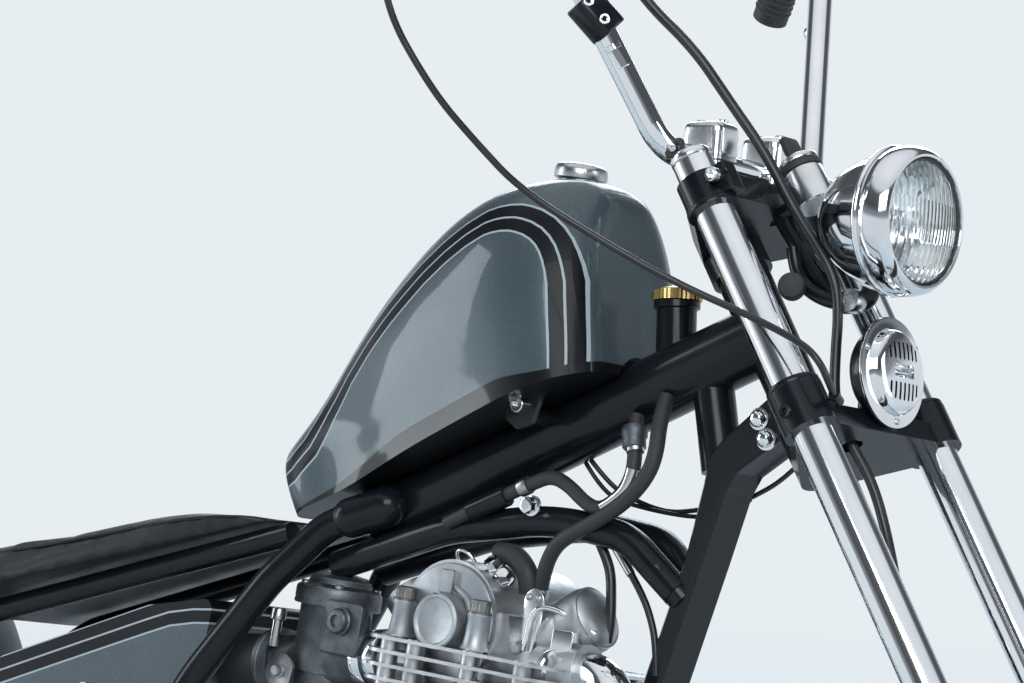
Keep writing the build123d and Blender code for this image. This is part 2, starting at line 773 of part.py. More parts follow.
def tank_section(along, tilt, half, height):
    """One cross-section of the tank: a flat floor under a squarish arch."""
    rise = tank_up * cos(radians(tilt)) + tank_back * sin(radians(tilt))
    plane = Plane(tank_foot + tank_back * along, x_dir=(0, 1, 0), z_dir=Vector(0, 1, 0).cross(rise))
    arch = []
    for step in range(1, tank_points):
        turn = radians(180 * step / tank_points)
        across = half * abs(cos(turn)) ** tank_roundness
        arch.append((across if turn < radians(90) else -across, height * sin(turn) ** tank_roundness))
    with BuildSketch(plane) as section:
        with BuildLine():
            Line((-half * 0.97, 0), (half * 0.97, 0))
            Spline((half * 0.97, 0), *arch, (-half * 0.97, 0))
        make_face()
    return section.sketch


def floor_at(x):
    """Height of the tank's floor."""
    return tank_z + (x - tank_x) * tan(radians(tank_slope))


def tank_distance(edge):
    """How far back along the tank's floor an edge lies."""
    return (edge.center() - tank_foot).dot(tank_back)


def above_floor(edge):
    """Whether an edge lies clear above the tank's floor."""
    return (edge.center() - tank_foot).dot(tank_up) > 20


with BuildPart() as fuel_tank:
    loft([tank_section(*row) for row in tank_sections])
    nose = [edge for edge in fuel_tank.edges() if above_floor(edge) and tank_distance(edge) < tank_nose_end]
    fillet(nose, nose_radius)
    tail = [edge for edge in fuel_tank.edges() if above_floor(edge) and tank_distance(edge) > tank_tail_start]
    fillet(tail, tail_radius)
    bore((tank_x + 139, 0, backbone_at(tank_x + 139)), (tank_x - 391, 0, backbone_at(tank_x - 391)),
         backbone_diameter + 2 * tunnel_gap)
    for outward in (1, -1):
        plate([(lug_x - 20, floor_at(lug_x - 20) + 14), (lug_x + 26, floor_at(lug_x + 26) + 14),
               (lug_x + 14, lug_z - 8), (lug_x, lug_z - 14), (lug_x - 14, lug_z - 6)],
              *side_span(outward, lug_y + fit, lug_y + ear_thickness), 4)
keep("fuel_tank", fuel_tank)

with BuildPart() as fuel_cap:
    bar((955, 0, 1006), (955, 0, 1024), 40)
    bar((955, 0, 1024), (954, 0, 1040), 48)
    add(fuel_tank.part, mode=Mode.SUBTRACT)
keep("fuel_cap", fuel_cap)

with BuildPart() as frame_bolts:
    for outward in (1, -1):
        bar((lug_x, outward * (lug_y + ear_thickness + fit), lug_z),
            (lug_x, outward * (lug_y + ear_thickness + 8), lug_z), 13)
        for bolt_x, bolt_z in ((1204, 838), (1214, 822)):
            hexagon((bolt_x, outward * (downtube_half_width + fit), bolt_z),
                    (bolt_x, outward * (downtube_half_width + 8), bolt_z), 14)
        for bolt_x, bolt_z in ((front_lug_x, front_lug_z), (rear_lug_x, rear_lug_z)):
            half = lug_half_width if bolt_x == front_lug_x else rear_lug_half_width
            wall = half + engine_plate
            hexagon((bolt_x, outward * (wall + 2 * fit), bolt_z), (bolt_x, outward * (wall + 7), bolt_z), 14)
keep("frame_bolts", frame_bolts)

# Seat and rear end

seat_gap = 0.3
seat_floor = rail_diameter / 2 / cos(radians(rail_slope)) + seat_gap


def seat_pad(profile, plan):
    """A pad from its side view, trimmed to its plan view."""
    with BuildPart() as pad:
        with BuildSketch(side) as side_view:
            with BuildLine():
                Polyline(*profile, close=True)
            make_face()
        extrude(side_view.sketch, amount=160, both=True)
        with BuildSketch(Plane.XY) as top_view:
            with BuildLine():
                Polyline(*plan, *[(x, -y) for x, y in reversed(plan)], close=True)
            make_face()
            fillet(top_view.vertices(), 24)
        extrude(top_view.sketch, amount=1200, mode=Mode.INTERSECT)
    return pad


seat_front = 726
seat_back = 306
seat = seat_pad(
    [(seat_front, rail_at(seat_front) + seat_floor), (698, 687), (650, 681), (598, 668), (525, 646),
     (461, 627), (394, 610), (seat_back, 588), (seat_back, rail_at(seat_back) + seat_floor)],
    [(seat_front, 74), (600, 104), (430, 132), (seat_back, 118)],
)
keep("seat", seat)

fender_radius = rear_radius + 22
fender_half_width = 74
fender_wall = 2.5
fender_start = 20
fender_strut_x = -190
fender_strut_z = rear_axle_z + 262
fender_end = 168
fender_reach = 900
fender_stay_x = 212
strut_foot_x = -30
strut_foot_z = rear_axle_z + 16

with BuildPart() as rear_fender:
    with BuildSketch(wheel_plane(rear_axle)):
        with BuildLine():
            crown = fender_radius + fender_wall
            outer = fender_half_width
            inner = fender_half_width - fender_wall
            shoulder = fender_radius - 12
            skirt = fender_radius - 34
            Polyline((-outer, skirt), (-outer, shoulder))
            ThreePointArc((-outer, shoulder), (0, crown), (outer, shoulder))
            Polyline((outer, shoulder), (outer, skirt), (inner, skirt), (inner, shoulder - 1))
            ThreePointArc((inner, shoulder - 1), (0, crown - fender_wall), (-inner, shoulder - 1))
            Polyline((-inner, shoulder - 1), (-inner, skirt), (-outer, skirt))
        make_face()
    revolve(axis=Axis(rear_axle, (0, 1, 0)), revolution_arc=360)
    with BuildSketch(side):
        with BuildLine():
            front_ray, rear_ray = [
                (fender_reach * cos(radians(turn)), rear_axle_z + fender_reach * sin(radians(turn)))
                for turn in (fender_start, fender_end)]
            Polyline((0, rear_axle_z), front_ray, (0, rear_axle_z + 1.3 * fender_reach), rear_ray, close=True)
        make_face()
    extrude(amount=through, both=True, mode=Mode.INTERSECT)
    for outward in (1, -1):
        strut_top = (fender_strut_x, outward * fender_half_width, fender_strut_z)
        bar((strut_foot_x, outward * (axle_reach + 5), strut_foot_z), strut_top, 9)
        bar((strut_foot_x, outward * (axle_reach + fit), strut_foot_z),
            (strut_foot_x, outward * (axle_reach + 9), strut_foot_z), 14)
        bar((fender_stay_x, outward * 70, rear_axle_z + 250),
            (fender_stay_x, outward * (rail_y_at(fender_stay_x) - 9.5), rail_rear_at(fender_stay_x) + 4), 14)
    add(tail_rails.part, mode=Mode.SUBTRACT)
keep("rear_fender", rear_fender)

pad_front = seat_back - seat_gap
pad_back = 40
with BuildPart() as pillion_pad:
    with BuildSketch(side):
        with BuildLine():
            Polyline((pad_front, 588), (pad_front - 60, 602), (160, 654), (pad_back, 704), (pad_back, 680))
            Spline((pad_back, 680), (160, 633.5), (235, 581), (pad_front, 548))
            Line((pad_front, 548), (pad_front, 588))
        make_face()
    extrude(amount=78, both=True)
    add(rear_fender.part, mode=Mode.SUBTRACT)
keep("pillion_pad", pillion_pad)

tail_lamp_height = 35

with BuildPart() as tail_lamp:
    lamp_seat = Plane(origin=rear_axle, x_dir=(0, 1, 0),
                      z_dir=(-cos(radians(tail_lamp_height)), 0, sin(radians(tail_lamp_height))))
    with BuildSketch(lamp_seat.offset(fender_radius + fender_wall)):
        Circle(30)
    extrude(amount=34)
    add(rear_fender.part, mode=Mode.SUBTRACT)
keep("tail_lamp", tail_lamp)

box_half_width = 72
box_outline = [(664, 606), (583, 588), (398, 512), (366, 420), (610, 404), (650, 420)]

with BuildPart() as tool_box:
    with BuildSketch(side) as box_side:
        with BuildLine():
            Polyline(*box_outline, close=True)
        make_face()
        fillet(box_side.vertices(), 10)
    extrude(amount=box_half_width, both=True)
keep("tool_box", tool_box)

# Engine

case_outline = [(662, 262), (700, 224), (990, 220), (1024, 262), (1030, 350), (1024, 408),
                (1010, cylinder_base), (900, cylinder_base), (830, 410), (700, 398), (662, 366)]

with BuildPart() as crankcase:
    plate(case_outline, -case_half_width, case_half_width, 8)
    disc((front_lug_x, front_lug_z), -lug_half_width, lug_half_width, lug_diameter)
    disc((rear_lug_x + 8, rear_lug_z), -rear_lug_half_width, rear_lug_half_width, lug_diameter)
keep("crankcase", crankcase)

cover_depth = 58

with BuildPart() as engine_covers:
    with BuildSketch(side.offset(case_half_width + fit)) as clutch_cover:
        with Locations((crank_x, crank_z)):
            Circle(92)
        with Locations((790, 316)):
            Circle(88)
        make_hull()
    extrude(clutch_cover.sketch, amount=cover_depth, taper=6)
    with BuildSketch(side.offset(-case_half_width - fit)) as generator_cover:
        with Locations((crank_x, crank_z)):
            Circle(88)
        with Locations((850, 318)):
            Circle(70)
        make_hull()
    extrude(generator_cover.sketch, amount=-cover_depth, taper=6)
keep("engine_covers", engine_covers)


def fin_stack(bottom, top, core_size, fin_size, centre_x):
    """A finned block: a core with evenly spaced plates round it."""
    with BuildPart() as stack:
        with BuildSketch(Plane.XY.offset(bottom)) as core:
            with Locations((centre_x, 0)):
                RectangleRounded(core_size[0], core_size[1], 20)
        extrude(core.sketch, amount=top - bottom)
        count = int((top - bottom) / fin_pitch)
        for step in range(count):
            with BuildSketch(Plane.XY.offset(top - fin_pitch * (step + 0.85) - fin_thickness / 2)) as fin:
                with Locations(((fin_back + fin_front) / 2, 0)):
                    RectangleRounded(fin_size[0], fin_size[1], 22)
            extrude(fin.sketch, amount=fin_thickness)
    return stack


fin_size = (fin_front - fin_back, 2 * fin_half_width)
keep("cylinder", fin_stack(cylinder_base, head_base, (116, 116), fin_size, bore_x))

with BuildPart() as cylinder_head:
    add(fin_stack(head_base + fit, head_deck, (136, 2 * cam_half_width - 4), fin_size, bore_x).part)
    with BuildSketch(side.offset(-cam_half_width)) as arch:
        with Locations((cam_x, cam_z)):
            Circle(cam_radius)
    extrude(arch.sketch, amount=2 * cam_half_width)
    plate([(880, 606), (1012, 606), (1002, 640), (886, 640)], -cam_half_width + 4, cam_half_width - 4, 3)
    for tower_x in (895, 981):
        for tower_y in (-75, 75):
            bar((tower_x, tower_y, head_deck - 12), (tower_x, tower_y, 636), 17)
            hexagon((tower_x, tower_y, 636), (tower_x, tower_y, 645), 14)
    bar((1000, -28, 610), (1072, -28, 650), 56)
    bar((880, 0, 600), (836, 0, 640), 50)
    bar((900, -25, 580), (846, -25, 580), 42)
    bar((1040, -48, 596), (1088, -48, 602), 50)
keep("cylinder_head", cylinder_head)

with BuildPart() as camshaft_cap:
    disc((cam_x, cam_z), -cam_half_width - cap_reach, -cam_half_width - fit, cap_diameter)
keep("camshaft_cap", camshaft_cap)

with BuildPart() as carburettor:
    bar((846 - fit, -24, 580), (708, -24, 556), 50)
    bar((768, -20, 556), (768, -20, 624), 66)
    bar((768, -20, 620), (768, -20, 633), 76)
    bar((768, -20, 633), (768, -20, 641), 56)
    bar((806, -26, 606), (806, -56, 606), 22)
    bar((768, -22, 500), (768, -22, 560), 56)
    bar((722, -24, 558), (706, -24, 555), 62)
    add(cylinder_head.part, mode=Mode.SUBTRACT)
keep("carburettor", carburettor)

with BuildPart() as intake_duct:
    bar((706 - fit, -24, 555), (640, -24, 546), 54)
    add(tool_box.part, mode=Mode.SUBTRACT)
    add(carburettor.part, mode=Mode.SUBTRACT)
keep("intake_duct", intake_duct)

exhaust_route = [(1088 + fit, -48, 602), (1130, -56, 600), (1122, -70, 480), (1098, -98, 240),
                 (1030, -128, 150), (620, -142, 150)]

with BuildPart() as exhaust:
    bend(exhaust_route, 38, [34, 200, 90, 60])
    add(cylinder_head.part, mode=Mode.SUBTRACT)
    bar((700, -139, 150), (590, -143, 152), 44)
    bar((600, -142, 152), (90, -164, 190), 78)
keep("exhaust", exhaust)

kick_shaft_x = 770
kick_shaft_z = 350
cover_reach = case_half_width + cover_depth

with BuildPart() as kick_lever:
    disc((kick_shaft_x, kick_shaft_z), -cover_reach - 22, -cover_reach - fit - 0.2, 26)
    bend([(kick_shaft_x, -cover_reach - 12, kick_shaft_z), (700, -cover_reach - 16, 420),
          (672, -cover_reach - 30, 510)], 16, [40])
    bar((672, -cover_reach - 22, 510), (672, -cover_reach - 110, 510), 20)
keep("kick_lever", kick_lever)

# Controls for the feet, on the cradle

peg_x = 800
peg_y = 132
peg_z = 208

with BuildPart() as foot_controls:
    for outward in (1, -1):
        bar((peg_x, outward * (98 + cradle_diameter / 2 - 4), 190), (peg_x, outward * peg_y, peg_z), 18)
        bar((peg_x, outward * peg_y, peg_z), (peg_x, outward * 228, peg_z), 28)
    add(cradle.part, mode=Mode.SUBTRACT)
keep("foot_controls", foot_controls)

# The brake pedal's rod runs under the cradle to the arm on the rear brake; the gear lever is on the left
pedal_x = 830
pedal_y = 112
pedal_z = 186
rod_front = Vector(802, -104, 156)
rod_back = Vector(48, -84, 198)
brake_shaft = Vector(20, -66, 258)

with BuildPart() as foot_levers:
    for outward, toe in ((-1, (962, 168, 250)), (1, (936, 152, 226))):
        bar((pedal_x, outward * (pedal_y - 8), pedal_z), (pedal_x, outward * (pedal_y + 20), pedal_z), 20)
        toe_x, toe_y, toe_z = toe
        bend([(pedal_x, outward * (pedal_y + 12), pedal_z), (892, outward * 146, 206),
              (toe_x, outward * toe_y, toe_z)], 12, [60])
        bar((toe_x, outward * (toe_y - 8), toe_z), (toe_x, outward * (toe_y + 42), toe_z), 18)
    bar((pedal_x, -pedal_y, pedal_z), (rod_front.X, -pedal_y, rod_front.Z), 9)
    bar(rod_front + Vector(0, -12, 0), rod_front + Vector(0, 4, 0), 9)
    bar(rod_front, rod_back, 6)
    bar(rod_back + Vector(0, -2, 0), rod_back + Vector(0, 8, 0), 9)
    bar(rod_back + Vector(0, 4, 0), (brake_shaft.X, rod_back.Y + 4, brake_shaft.Z), 10)
    bar(brake_shaft + Vector(0, -fit, 0), brake_shaft + Vector(0, -18, 0), 14)
    add(cradle.part, mode=Mode.SUBTRACT)
keep("foot_levers", foot_levers)

# Drive chain: from the engine's sprocket to the rear wheel's

with BuildPart() as chain:
    with BuildSketch(side.offset(-(chain_y - chain_width / 2))) as loop:
        with Locations((0, rear_axle_z)):
            Circle(rear_sprocket_radius + chain_height / 2)
        with Locations((output_x, output_z)):
            Circle(front_sprocket + chain_height / 2)
        make_hull()
        offset(amount=-chain_height, mode=Mode.SUBTRACT)
    extrude(loop.sketch, amount=-chain_width)
keep("chain", chain)

with BuildPart() as output_sprocket:
    disc((output_x, output_z), case_half_width + fit, sprocket_outside, 34)
    disc((output_x, output_z), sprocket_inside, sprocket_outside,
         2 * (front_sprocket - chain_height / 2 - sprocket_gap))
keep("output_sprocket", output_sprocket)

# Side stand

stand_eye = stand_diameter / 2 - 0.4

with BuildPart() as side_stand:
    bar(stand_pivot, stand_ankle, stand_diameter)
    bar(stand_pivot - stand_axis * stand_eye, stand_pivot + stand_axis * stand_eye, 2.6 * stand_pin)
    with Locations(stand_ankle):
        Sphere(stand_diameter / 2)
    with BuildSketch(Plane(stand_foot, x_dir=(1, 0, 0), z_dir=ground_up)):
        SlotOverall(70, 40)
    extrude(amount=foot_thickness)
    bar(stand_foot + ground_up * (foot_thickness - 2), stand_ankle, 0.9 * stand_diameter)
    bore(stand_pivot - stand_axis * 40, stand_pivot + stand_axis * 40, stand_pin + 2 * bearing_gap)
keep("side_stand", side_stand)

# Hoses

hose_routes = {
    "low": [(1082, -20, 838), (1080, -29, 798), (1074, -44, 752), (1040, -45, 748), (1000, -48, 752),
            (958, -50, 730), (900, -50, 700)],
    "head": [(1110, -18, 850), (1104, -28, 812), (1086, -42, 760), (1050, -40, 712), (1012, -30, 668),
             (1004, -28, 636)],
}
hose_diameter = 13

with BuildPart() as oil_hoses:
    for points in hose_routes.values():
        bend(points, hose_diameter, cord_radii(points))
    add(backbone.part, mode=Mode.SUBTRACT)
    add(braces.part, mode=Mode.SUBTRACT)
    add(cylinder_head.part, mode=Mode.SUBTRACT)
keep("oil_hoses", oil_hoses)

# Cable from the throttle on the right grip to the guide on the lower clamp

cable_diameter = 6
throttle_place = grip_inner + housing_width / 2
throttle_route = [on_grip(right_hand, throttle_place, 20, 15), on_grip(right_hand, throttle_place, 46, 34.5),
                  (986, -364, 1266), (998, -358, 1202), (999, -343, 1124), (1036, -306, 1058),
                  (1062, -270, 1022), (1086, -235, 991), (1141, -190, 960), (1199, -153, 934),
                  (1261, -129, 916), (1311, -124, 900), (1329, -122, 887), (1333, -110, 871), cable_guide]

with BuildPart() as throttle_cable:
    bend(throttle_route, cable_diameter, cord_radii(throttle_route))
keep("throttle_cable", throttle_cable)

# Front brake's cable: from the right lever, past the lamp and through the lower clamp

brake_cable_diameter = 9
brake_route = [on_grip(right_hand, perch_place + 8 + fit, 25), on_grip(right_hand, perch_place + 48, 34),
               (1010, -226, 1354), (1042, -166, 1294), (1048, -122, 1214), (1074, -98, 1174),
               (1120, -78, 1138), (1150, -59, 1099), (1182, -42, 1061), (1217, -30, 1011),
               (1258, -24, 968), on_steer(82, -21, 110), on_steer(60, -22, 74), on_steer(44, -24, 42),
               on_steer(40, -22, 8), on_steer(38, -10, -32), on_steer(28, -6, -76),
               on_steer(20, -18, -134), on_steer(10, -38, -200), on_steer(0, -56, -270),
               on_steer(-8, -68, -346), on_steer(-12, -75, -430), on_steer(-12, -77, -492), brake_stop]

with BuildPart() as brake_cable:
    bend(brake_route, brake_cable_diameter, cord_radii(brake_route))
keep("brake_cable", brake_cable)

for name, points in (("throttle", throttle_route), ("brake", brake_route), *hose_routes.items()):
    print(name, [round(radius) for radius in cord_radii(points)])

# Placing every piece: leaned onto the stand, with the origin in the middle of the footprint

free_cords = ("throttle_cable", "brake_cable")
leaning = Location((0, 0, 0), (-lean, 0, 0))
held_shapes = [shape.moved(leaning) for name, shape in pieces.items() if name not in free_cords]
leaned_box = Compound(held_shapes).bounding_box()
centre = leaned_box.center()
standing = Location((-centre.X, -centre.Y, -leaned_box.min.Z)) * leaning


if __name__ == "__main__":
    os.makedirs("parts", exist_ok=True)
    for name, shape in pieces.items():
        placed = shape.moved(standing)
        placed.label = name
        export_step(placed, f"parts/{name}.step")
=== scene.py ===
# %% [markdown]
# # A rigid-frame chopper, dressed on its measured frame
# The engineering model is the fixed frame: every tube, wheel and casting is already in its
# place, in metres. Here the motorcycle gets what the drawing leaves out: paint, chrome, leather,
# tread, bolts and lamps. Nothing of the frame is moved. A shape that needs more detail gets a
# new piece in the same place.

# %% Load the frame
import json
from math import acos, atan2, cos, pi, radians, sin

import bmesh
import bpy
from mathutils import Euler, Matrix, Vector


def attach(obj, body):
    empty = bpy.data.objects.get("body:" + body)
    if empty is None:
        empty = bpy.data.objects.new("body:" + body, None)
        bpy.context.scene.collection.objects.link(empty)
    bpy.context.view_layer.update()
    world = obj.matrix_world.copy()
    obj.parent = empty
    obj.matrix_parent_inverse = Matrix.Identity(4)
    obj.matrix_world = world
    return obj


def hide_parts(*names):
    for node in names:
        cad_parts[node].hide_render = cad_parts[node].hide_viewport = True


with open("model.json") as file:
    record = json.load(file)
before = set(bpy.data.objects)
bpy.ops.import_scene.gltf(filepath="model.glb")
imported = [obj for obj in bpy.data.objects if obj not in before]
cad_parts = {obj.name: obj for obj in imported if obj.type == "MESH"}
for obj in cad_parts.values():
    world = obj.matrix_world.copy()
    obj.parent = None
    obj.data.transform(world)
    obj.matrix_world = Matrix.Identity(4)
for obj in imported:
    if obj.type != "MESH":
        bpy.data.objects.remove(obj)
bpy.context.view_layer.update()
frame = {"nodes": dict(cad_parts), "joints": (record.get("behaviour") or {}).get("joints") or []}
bpy.ops.object.select_all(action="DESELECT")

# %% [markdown]
# A motorcycle on its side stand leans, and it is hard to model on a slope. So every new piece is
# made on an upright motorcycle: x forward from the rear axle, y to the left, z up from the ground,
# in millimetres. The last thing done to a piece leans it over. The lean is known, and the rear
# axle of the frame says where the upright motorcycle stands.

# %% Upright places
lean = radians(11)
rear_axle = Vector((0, 0, 0.324123))
front_axle = Vector((1.68834, 0, 0.347749))
rake = radians(38)
joint_place = {joint["name"]: Vector(joint["pos_m"]) for joint in frame["joints"]}
leaned = Matrix.Rotation(-lean, 4, "X")
upright = Matrix.Translation(joint_place["rear_wheel_spin"] - leaned @ rear_axle) @ leaned
steer_origin = Vector((1.2706, 0, 0.801217))
steer_ahead = Vector((cos(rake), 0, sin(rake)))
steer_up = Vector((-sin(rake), 0, cos(rake)))


def mm(x, y, z):
    """A point on the upright motorcycle, from millimetres to metres."""
    return Vector((x, y, z)) / 1000


def on_steer(x, y, z):
    """A point on the steering axis's own axes: ahead, left and up the axis, in millimetres."""
    return steer_origin + (steer_ahead * x + Vector((0, y, 0)) + steer_up * z) / 1000


print("the upright frame's origin stands at", [round(x, 3) for x in upright.translation])

# %% [markdown]
# A long lens from about three metres keeps the proportions calm, as in the picture this follows.
# The camera comes first: the cords' routes were judged against what it sees.

# %% Camera
bpy.ops.object.camera_add()
camera = bpy.context.object
camera.name = "camera"
camera.location = upright @ mm(3207.4, -2753.3, 759.1)
camera.rotation_euler = Euler([radians(x) for x in (83.4386, -1.8915, 40.3955)])
camera.data.lens = 141.65
camera.data.clip_end = 200
bpy.context.scene.camera = camera
bpy.context.scene.view_settings.view_transform = "Standard"
print("camera at", [round(x, 2) for x in camera.location])

# %% [markdown]
# Two cables hang free: the throttle's thin one, in a long open loop round the tank, and the front
# brake's thicker one, which drops from the lever past the lamp and through the lower clamp to the
# wheel. A cable is a smooth curve, so it is a NURBS spline whose control points are the points of
# its route, and a round bevel gives it its thickness. Blender's box round a curve grows with the
# radius of its points, so that radius is tiny here, and the bevel is as much thicker.

# %% Cables
throttle_route = [
    (936.1, -334.2, 1324.2), (959.3, -356.7, 1320.8), (986.0, -364.0, 1266.0),
    (998.0, -358.0, 1202.0), (999.0, -343.0, 1124.0), (1036.0, -306.0, 1058.0),
    (1062.0, -270.0, 1022.0), (1086.0, -235.0, 991.0), (1141.0, -190.0, 960.0),
    (1199.0, -153.0, 934.0), (1261.0, -129.0, 916.0), (1311.0, -124.0, 900.0),
    (1329.0, -122.0, 887.0), (1333.0, -110.0, 871.0), (1325.4, -91.5, 864.3)]
brake_route = [
    (955.1, -310.3, 1342.9), (981.2, -298.3, 1372.0), (1010.0, -226.0, 1354.0),
    (1042.0, -166.0, 1294.0), (1048.0, -122.0, 1214.0), (1074.0, -98.0, 1174.0),
    (1120.0, -78.0, 1138.0), (1150.0, -59.0, 1099.0), (1182.0, -42.0, 1061.0),
    (1217.0, -30.0, 1011.0), (1258.0, -24.0, 968.0), (1267.5, -21.0, 938.4), (1272.3, -22.0, 896.5),
    (1279.4, -24.0, 861.4), (1297.2, -22.0, 832.1), (1320.2, -10.0, 799.4), (1339.5, -6.0, 758.6),
    (1368.9, -18.0, 707.9), (1401.6, -38.0, 649.8), (1436.9, -56.0, 588.5), (1477.3, -68.0, 523.6),
    (1525.9, -75.0, 455.0), (1564.0, -77.0, 406.1), (1600.4, -77.0, 362.8)]
point_radius = 0.001


def smooth_line(name, points, bevel, resolution):
    """A NURBS line with its control points in metres, made round by a bevel."""
    line = bpy.data.curves.new(name, "CURVE")
    line.dimensions = "3D"
    spline = line.splines.new("NURBS")
    spline.points.add(len(points) - 1)
    for control, point in zip(spline.points, points):
        control.co = (*point, 1)
    spline.order_u = 3
    line.bevel_depth = bevel
    line.bevel_resolution = resolution
    made = bpy.data.objects.new(name, line)
    bpy.context.scene.collection.objects.link(made)
    return made, spline


def lay_cable(name, route, diameter):
    """A smooth round cable along the points of its route, closed at both ends."""
    places = [upright @ mm(*place) for place in route]
    cable, spline = smooth_line(name, places, diameter / 2 / point_radius, 4)
    for control in spline.points:
        control.radius = point_radius
    spline.use_endpoint_u = True
    spline.resolution_u = 12
    cable.data.use_fill_caps = True
    return cable


throttle_cable = lay_cable("throttle_line", throttle_route, 0.006)
brake_cable = lay_cable("front_brake_line", brake_route, 0.009)
for cable, route, length, diameter, solid in (
    (throttle_cable, throttle_route, 0.76, 0.006, "throttle_cable"),
    (brake_cable, brake_route, 1.34, 0.009, "brake_cable"),
):
    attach(cable, "steering")
    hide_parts(solid)
    print(cable.name, "has", len(route), "control points")

# %% [markdown]
# A material is a tree of nodes. A few short tools place a node, set it and wire it in one line, so
# that what follows reads like a recipe. The last two tell seen light from light on its way, and
# empty a tree.

# %% Shader tools


def wire(tree, made, wires):
    """Give a node's sockets a value or another node's output."""
    for socket, value in wires.items():
        if isinstance(value, bpy.types.NodeSocket):
            tree.links.new(value, made.inputs[socket])
        else:
            made.inputs[socket].default_value = value


def node(tree, kind, wires=None, **settings):
    """Add a shader node with its settings and with what goes into its sockets."""
    made = tree.nodes.new(kind)
    for name, value in settings.items():
        setattr(made, name, value)
    wire(tree, made, wires or {})
    return made


def math(tree, operation, *values, clamp=False):
    """A math node, by its operation."""
    wires = dict(enumerate(values))
    return node(tree, "ShaderNodeMath", wires, operation=operation, use_clamp=clamp).outputs[0]


def vector_math(tree, operation, *values, **named):
    """A vector math node, by its operation: some give a number, the others a vector."""
    wires = {**dict(enumerate(values)), **named}
    gives_number = operation in ("LENGTH", "DISTANCE", "DOT_PRODUCT")
    made = node(tree, "ShaderNodeVectorMath", wires, operation=operation)
    return made.outputs["Value" if gives_number else "Vector"]


def map_range(tree, value, low, high, to_low=0.0, to_high=1.0, smooth=True):
    """A value stretched from one span to another, and held inside it."""
    made = node(tree, "ShaderNodeMapRange", {0: value, 1: low, 2: high, 3: to_low, 4: to_high},
                interpolation_type="SMOOTHSTEP" if smooth else "LINEAR")
    return made.outputs[0]


def seen_rays(tree):
    """1 for what the camera sees, also by way of metal and glass, and 0 for light on its way."""
    rays = node(tree, "ShaderNodeLightPath").outputs
    shown_by_gloss = math(tree, "MAXIMUM", rays["Is Glossy Ray"], rays["Is Transmission Ray"])
    return math(tree, "MAXIMUM", rays["Is Camera Ray"], shown_by_gloss)


def emptied_tree(owner):
    """The node tree of a material or a world, with nothing in it yet."""
    owner.use_nodes = True
    owner.node_tree.nodes.clear()
    return owner.node_tree


print("shader tools: wire, node, math, vector_math, map_range, seen_rays, emptied_tree")

# %% [markdown]
# The floor is a plain pale sheet. Near the motorcycle it takes shadows as paper does. Farther out
# it fades to an even tone, so that no edge or horizon shows.

# %% Floor
bpy.ops.mesh.primitive_circle_add(vertices=96, radius=90, fill_type="NGON")
floor = bpy.context.object
floor.name = "floor"

pale = (0.80, 0.85, 0.885, 1)
fade_start, fade_end = 1.6, 3.4
sheet = bpy.data.materials.new("floor_paper")
tree = emptied_tree(sheet)
spot = node(tree, "ShaderNodeTexCoord").outputs["Object"]
far = map_range(tree, vector_math(tree, "LENGTH", spot), fade_start, fade_end)
faded = math(tree, "MULTIPLY", far, seen_rays(tree))
matt = node(tree, "ShaderNodeBsdfDiffuse", {"Color": (0.77, 0.81, 0.835, 1)}).outputs[0]
even = node(tree, "ShaderNodeEmission", {"Color": pale, "Strength": 1.0}).outputs[0]
shown = node(tree, "ShaderNodeMixShader", {0: faded, 1: matt, 2: even}).outputs[0]
node(tree, "ShaderNodeOutputMaterial", {"Surface": shown})
floor.data.materials.append(sheet)
print("floor fades from", fade_start, "to", fade_end, "m")

# %% [markdown]
# The sky is a soft grey box, brightest low down: polished metal is only as good as what it mirrors,
# and this gives it a light and a dark. A ramp over the height makes its shades.

# %% Sky
studio = bpy.data.worlds.new("studio")
bpy.context.scene.world = studio
tree = emptied_tree(studio)
direction = node(tree, "ShaderNodeTexCoord").outputs["Generated"]
height = node(tree, "ShaderNodeSeparateXYZ", {0: direction}).outputs["Z"]
ramp = node(tree, "ShaderNodeValToRGB", {"Fac": height})
ramp.color_ramp.interpolation = "EASE"
stops = ramp.color_ramp.elements
sky_shades = ((0.0, 0.86), (0.09, 0.9), (0.2, 0.3), (0.4, 0.09), (0.64, 0.12), (0.76, 0.84))
for place, shade in sky_shades:
    stop = stops.new(place) if place else stops[0]
    stop.color = (shade * 0.91, shade * 0.99, shade * 1.06, 1)
backdrop = node(tree, "ShaderNodeBackground",
                {"Color": ramp.outputs[0], "Strength": 1.0}).outputs[0]
glow = node(tree, "ShaderNodeBackground",
            {"Color": (0.80, 0.92, 1.0, 1), "Strength": 0.36}).outputs[0]
chosen = node(tree, "ShaderNodeMixShader", {0: seen_rays(tree), 1: glow, 2: backdrop}).outputs[0]
node(tree, "ShaderNodeOutputWorld", {"Surface": chosen})
print("sky has", len(stops), "shades")

# %% [markdown]
# Four soft panels light it: a large one high on the camera's side, a cooler one behind for the rims
# of the black tubes, a low one in front for the forks, and one at the tail. Area lights are used,
# because their shape shows in chrome as the long highlights that make it read as chrome.

